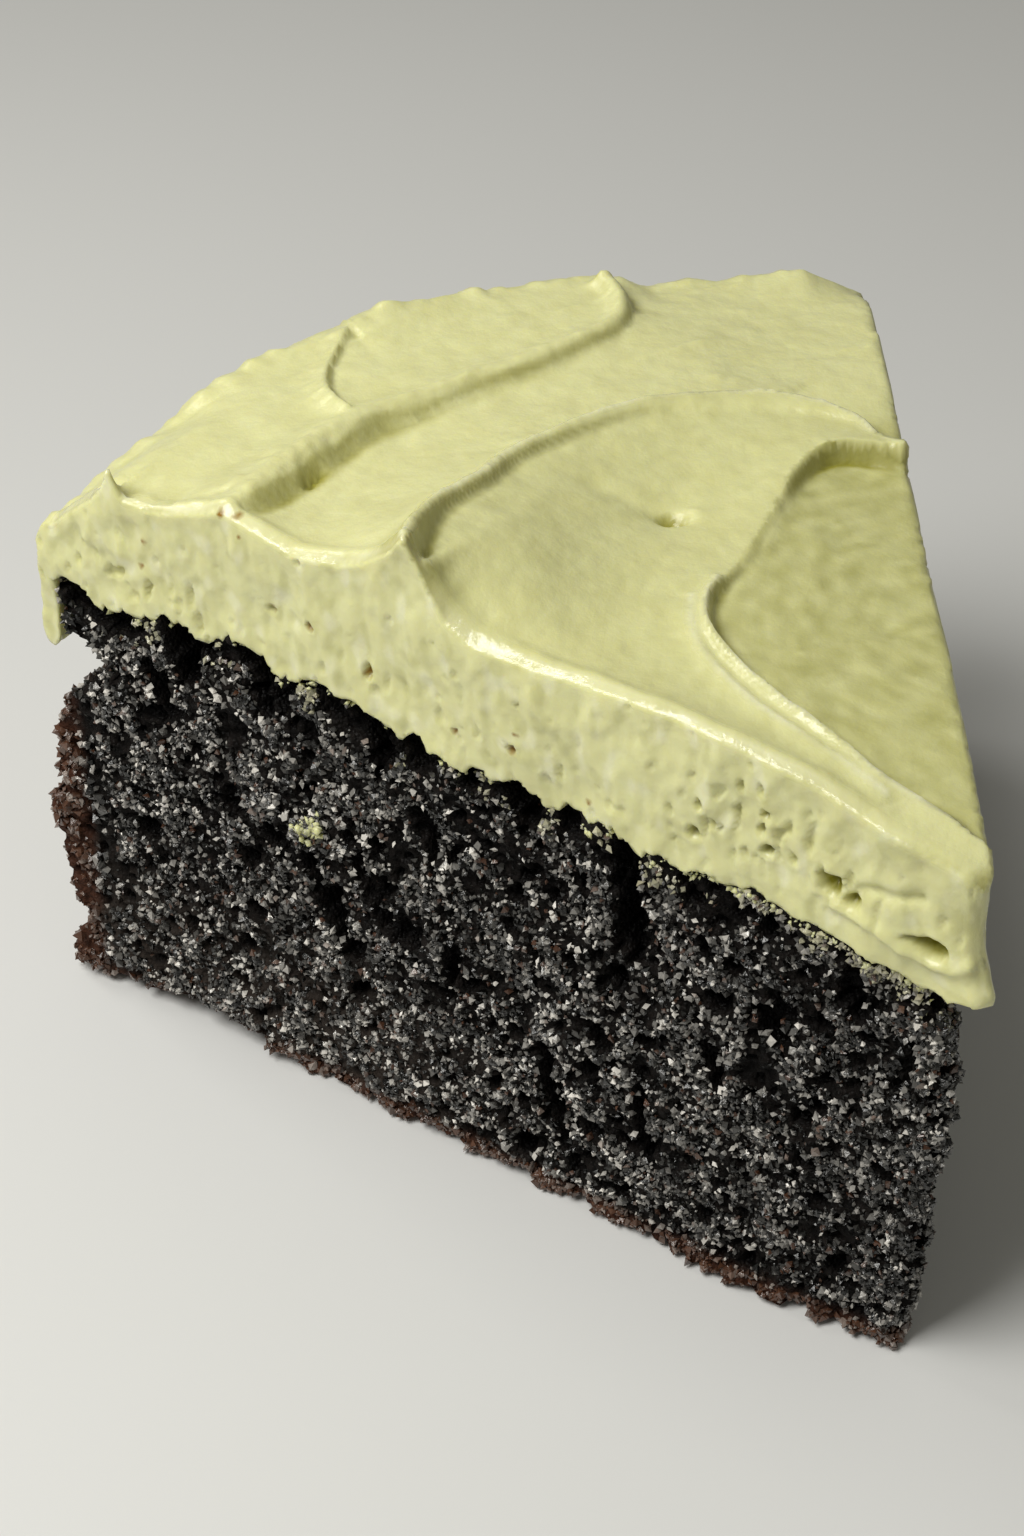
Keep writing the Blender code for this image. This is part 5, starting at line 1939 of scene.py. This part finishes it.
@dataclass
class Grains:
    """Loose grains of one kind, clinging to the sponge, with their least and greatest radius."""

    name: str
    count: int
    least: float
    most: float
    seed: int
    body: Body
    finish: GrainFinish | ButtercreamFinish = GrainFinish()
    smooth: bool = False
    proud: float = 0.3

    def build(self, host: bpy.types.Object, weight: np.ndarray) -> bpy.types.Object:
        """Scatters the grains over their host.

        Args:
            host: the sponge.
            weight: how densely grains lie at each of the host's corners.

        Returns:
            The object.
        """
        draw = np.random.default_rng(self.seed)
        places, normals = self.places(host, weight, draw)
        sizes = self.least + (self.most - self.least) * draw.random(self.count) ** 1.6
        places = places + normals * (self.proud * sizes)[:, None]
        places[:, 2] = np.maximum(places[:, 2], sizes)
        pebble = Pebble()
        points, faces = pebble.scatter(places, sizes, draw)
        item = make_object(self.name, points, faces.tolist(), self.smooth)
        for name, values in self.tones(places, draw).items():
            paint(item, name, np.repeat(values, pebble.corner_count))
        item.data.materials.append(bpy.data.materials.get(self.finish.name) or self.finish.material())
        LOG.info("%s: %d grains, %d faces", self.name, self.count, len(faces))
        return item

    def tones(self, places: np.ndarray, draw: np.random.Generator) -> dict[str, np.ndarray]:
        """How pale (painted glints, and dust near the sheet), creamy and baked each grain is.

        Args:
            places: middle of each grain, one row each.
            draw: the seeded source of random numbers.

        Returns:
            For each name that the material reads, one number for each grain.
        """
        below = self.body.sheet(places[:, :2]) - places[:, 2]
        reach = np.hypot(places[:, 0], places[:, 1])
        streaky = 1 + 0.5 * ripple(places, 6.0, 1.7)
        creamy = np.exp(-np.maximum(below, 0) / 2.4) * draw.random(self.count) * streaky > 0.24
        baked = np.maximum(smoothstep((reach - 98.5) / 2.5) * (below > 9),
                           smoothstep((3.4 - places[:, 2]) / 1.6))
        baked = np.maximum(baked, 0.8 * (draw.random(self.count) > 0.94))
        # Painted glints: a few pale grains, gathered in clusters and fewer towards the tip
        patchy = np.clip(0.62 + 1.3 * ripple(places, 1.9, 4.2), 0.1, 1.4)
        patchy *= 0.72 + 0.28 * smoothstep((reach - 14) / 22)
        pale = 1.35 * draw.random(self.count) ** 3.5 * patchy
        dusted = bell(np.maximum(below, 0), 1.6) * smoothstep((36 - reach) / 8)
        pale = np.maximum(pale, 0.6 * dusted * draw.random(self.count))
        return {"glint_and_dust": np.clip(pale, 0, 1),
                "cream": creamy * draw.uniform(0.3, 0.9, self.count),
                "crust": baked * draw.uniform(0.5, 1.0, self.count)}

    def places(self, host: bpy.types.Object, weight: np.ndarray, draw: np.random.Generator
               ) -> tuple[np.ndarray, np.ndarray]:
        """Random places on the host's skin.

        Args:
            host: the sponge.
            weight: how densely grains lie at each of the host's corners.
            draw: the seeded source of random numbers.

        Returns:
            The places in millimetres and the skin's direction at each, one row each.
        """
        mesh = host.data
        mesh.calc_loop_triangles()
        corners = np.zeros(len(mesh.loop_triangles) * 3, dtype=int)
        mesh.loop_triangles.foreach_get("vertices", corners)
        corners = corners.reshape(-1, 3)
        a, b, c = corners_of(host)[corners.T]
        cross = np.cross(b - a, c - a)
        area = np.linalg.norm(cross, axis=1)
        chance = np.cumsum(area * weight[corners].min(axis=1))
        picked = np.searchsorted(chance, draw.random(self.count) * chance[-1])
        u, v = draw.random(self.count), draw.random(self.count)
        u, v = np.where(u + v > 1, 1 - u, u)[:, None], np.where(u + v > 1, 1 - v, v)[:, None]
        places = a[picked] + u * (b - a)[picked] + v * (c - a)[picked]
        return places, cross[picked] / np.maximum(area[picked], 1e-9)[:, None]


@dataclass(frozen=True)
class Lamp:
    """A square lamp that faces the slice: place and side in metres, power in watts, sRGB colour."""

    name: str
    place: Triple
    size: float
    power: float
    colour: str = "#FFFEF9"


@dataclass
class Studio:
    """The pale floor, the lights and the camera.

    The eye is in the slice's millimetres. Forward and right are the photograph's directions of view.
    """

    floor_size: float = 3.0
    eye: Triple = (-108.5, -119.7, 197.0)
    forward: Triple = (0.3745, 0.6897, -0.6198)
    right: Triple = (0.8788, -0.4772, 0.0)
    lens: float = 59.65
    film_height: float = 36.0
    nearest_shown: float = 0.01
    lamps: tuple[Lamp, ...] = (Lamp("window", (-0.28, -0.01, 0.46), 0.26, 2.3),
                               Lamp("back window", (-0.20, 0.37, 0.41), 0.16, 0.5))
    lamps_aim: Triple = (0.0, 0.0, 0.04)
    room: str = "#F0EEE2"
    room_light: float = 0.20

    def camera(self) -> None:
        """Places the camera where the photograph was taken from."""
        data = bpy.data.cameras.new("camera")
        data.lens = self.lens
        data.sensor_width = self.film_height
        data.clip_start = self.nearest_shown
        forward, right = Vector(self.forward).normalized(), Vector(self.right).normalized()
        up = right.cross(forward).normalized()
        turn = Matrix((right, up, -forward)).transposed().to_4x4()
        camera = linked("camera", data)
        camera.matrix_world = Matrix.Translation((Vector(self.eye) + TIP) * MM) @ turn
        bpy.context.scene.camera = camera

    def floor(self) -> None:
        """Lays the floor."""
        half = self.floor_size / 2
        mesh = bpy.data.meshes.new("floor")
        mesh.from_pydata([(-half, -half, 0), (half, -half, 0), (half, half, 0), (-half, half, 0)],
                         [], [[0, 1, 2, 3]])
        mesh.materials.append(FloorFinish().material())
        floor = linked("floor", mesh)

    def light(self, lamp: Lamp) -> None:
        """Hangs up a lamp."""
        data = bpy.data.lights.new(lamp.name, "AREA")
        data.size = lamp.size
        data.energy = lamp.power
        data.color = linear(lamp.colour)[:3]
        item = linked(lamp.name, data)
        item.location = lamp.place
        towards = Vector(self.lamps_aim) - Vector(lamp.place)
        item.rotation_euler = towards.to_track_quat("-Z", "Y").to_euler()

    def build(self) -> None:
        """Sets the studio up."""
        self.camera()
        self.floor()
        for lamp in self.lamps:
            self.light(lamp)
        world = bpy.data.worlds.new("room")
        world.use_nodes = True
        background = world.node_tree.nodes["Background"]
        feed(world.node_tree, background, {"Color": linear(self.room), "Strength": self.room_light})
        bpy.context.scene.world = world
        bpy.context.scene.view_settings.view_transform = "Standard"


def main() -> None:
    """Builds the slice and its studio in order."""
    logging.basicConfig(level=logging.INFO, format="%(name)s: %(message)s")
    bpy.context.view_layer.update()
    Studio().build()
    body = Body()
    frosting = Frosting(Swirl(), body).build()
    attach(frosting, "root")
    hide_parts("frosting")
    sponge_maker = Sponge(body)
    sponge = sponge_maker.build()
    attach(sponge, "root")
    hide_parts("sponge")
    for piece in sponge_maker.grains(sponge):
        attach(piece, "root")


if __name__ == "__main__":
    main()
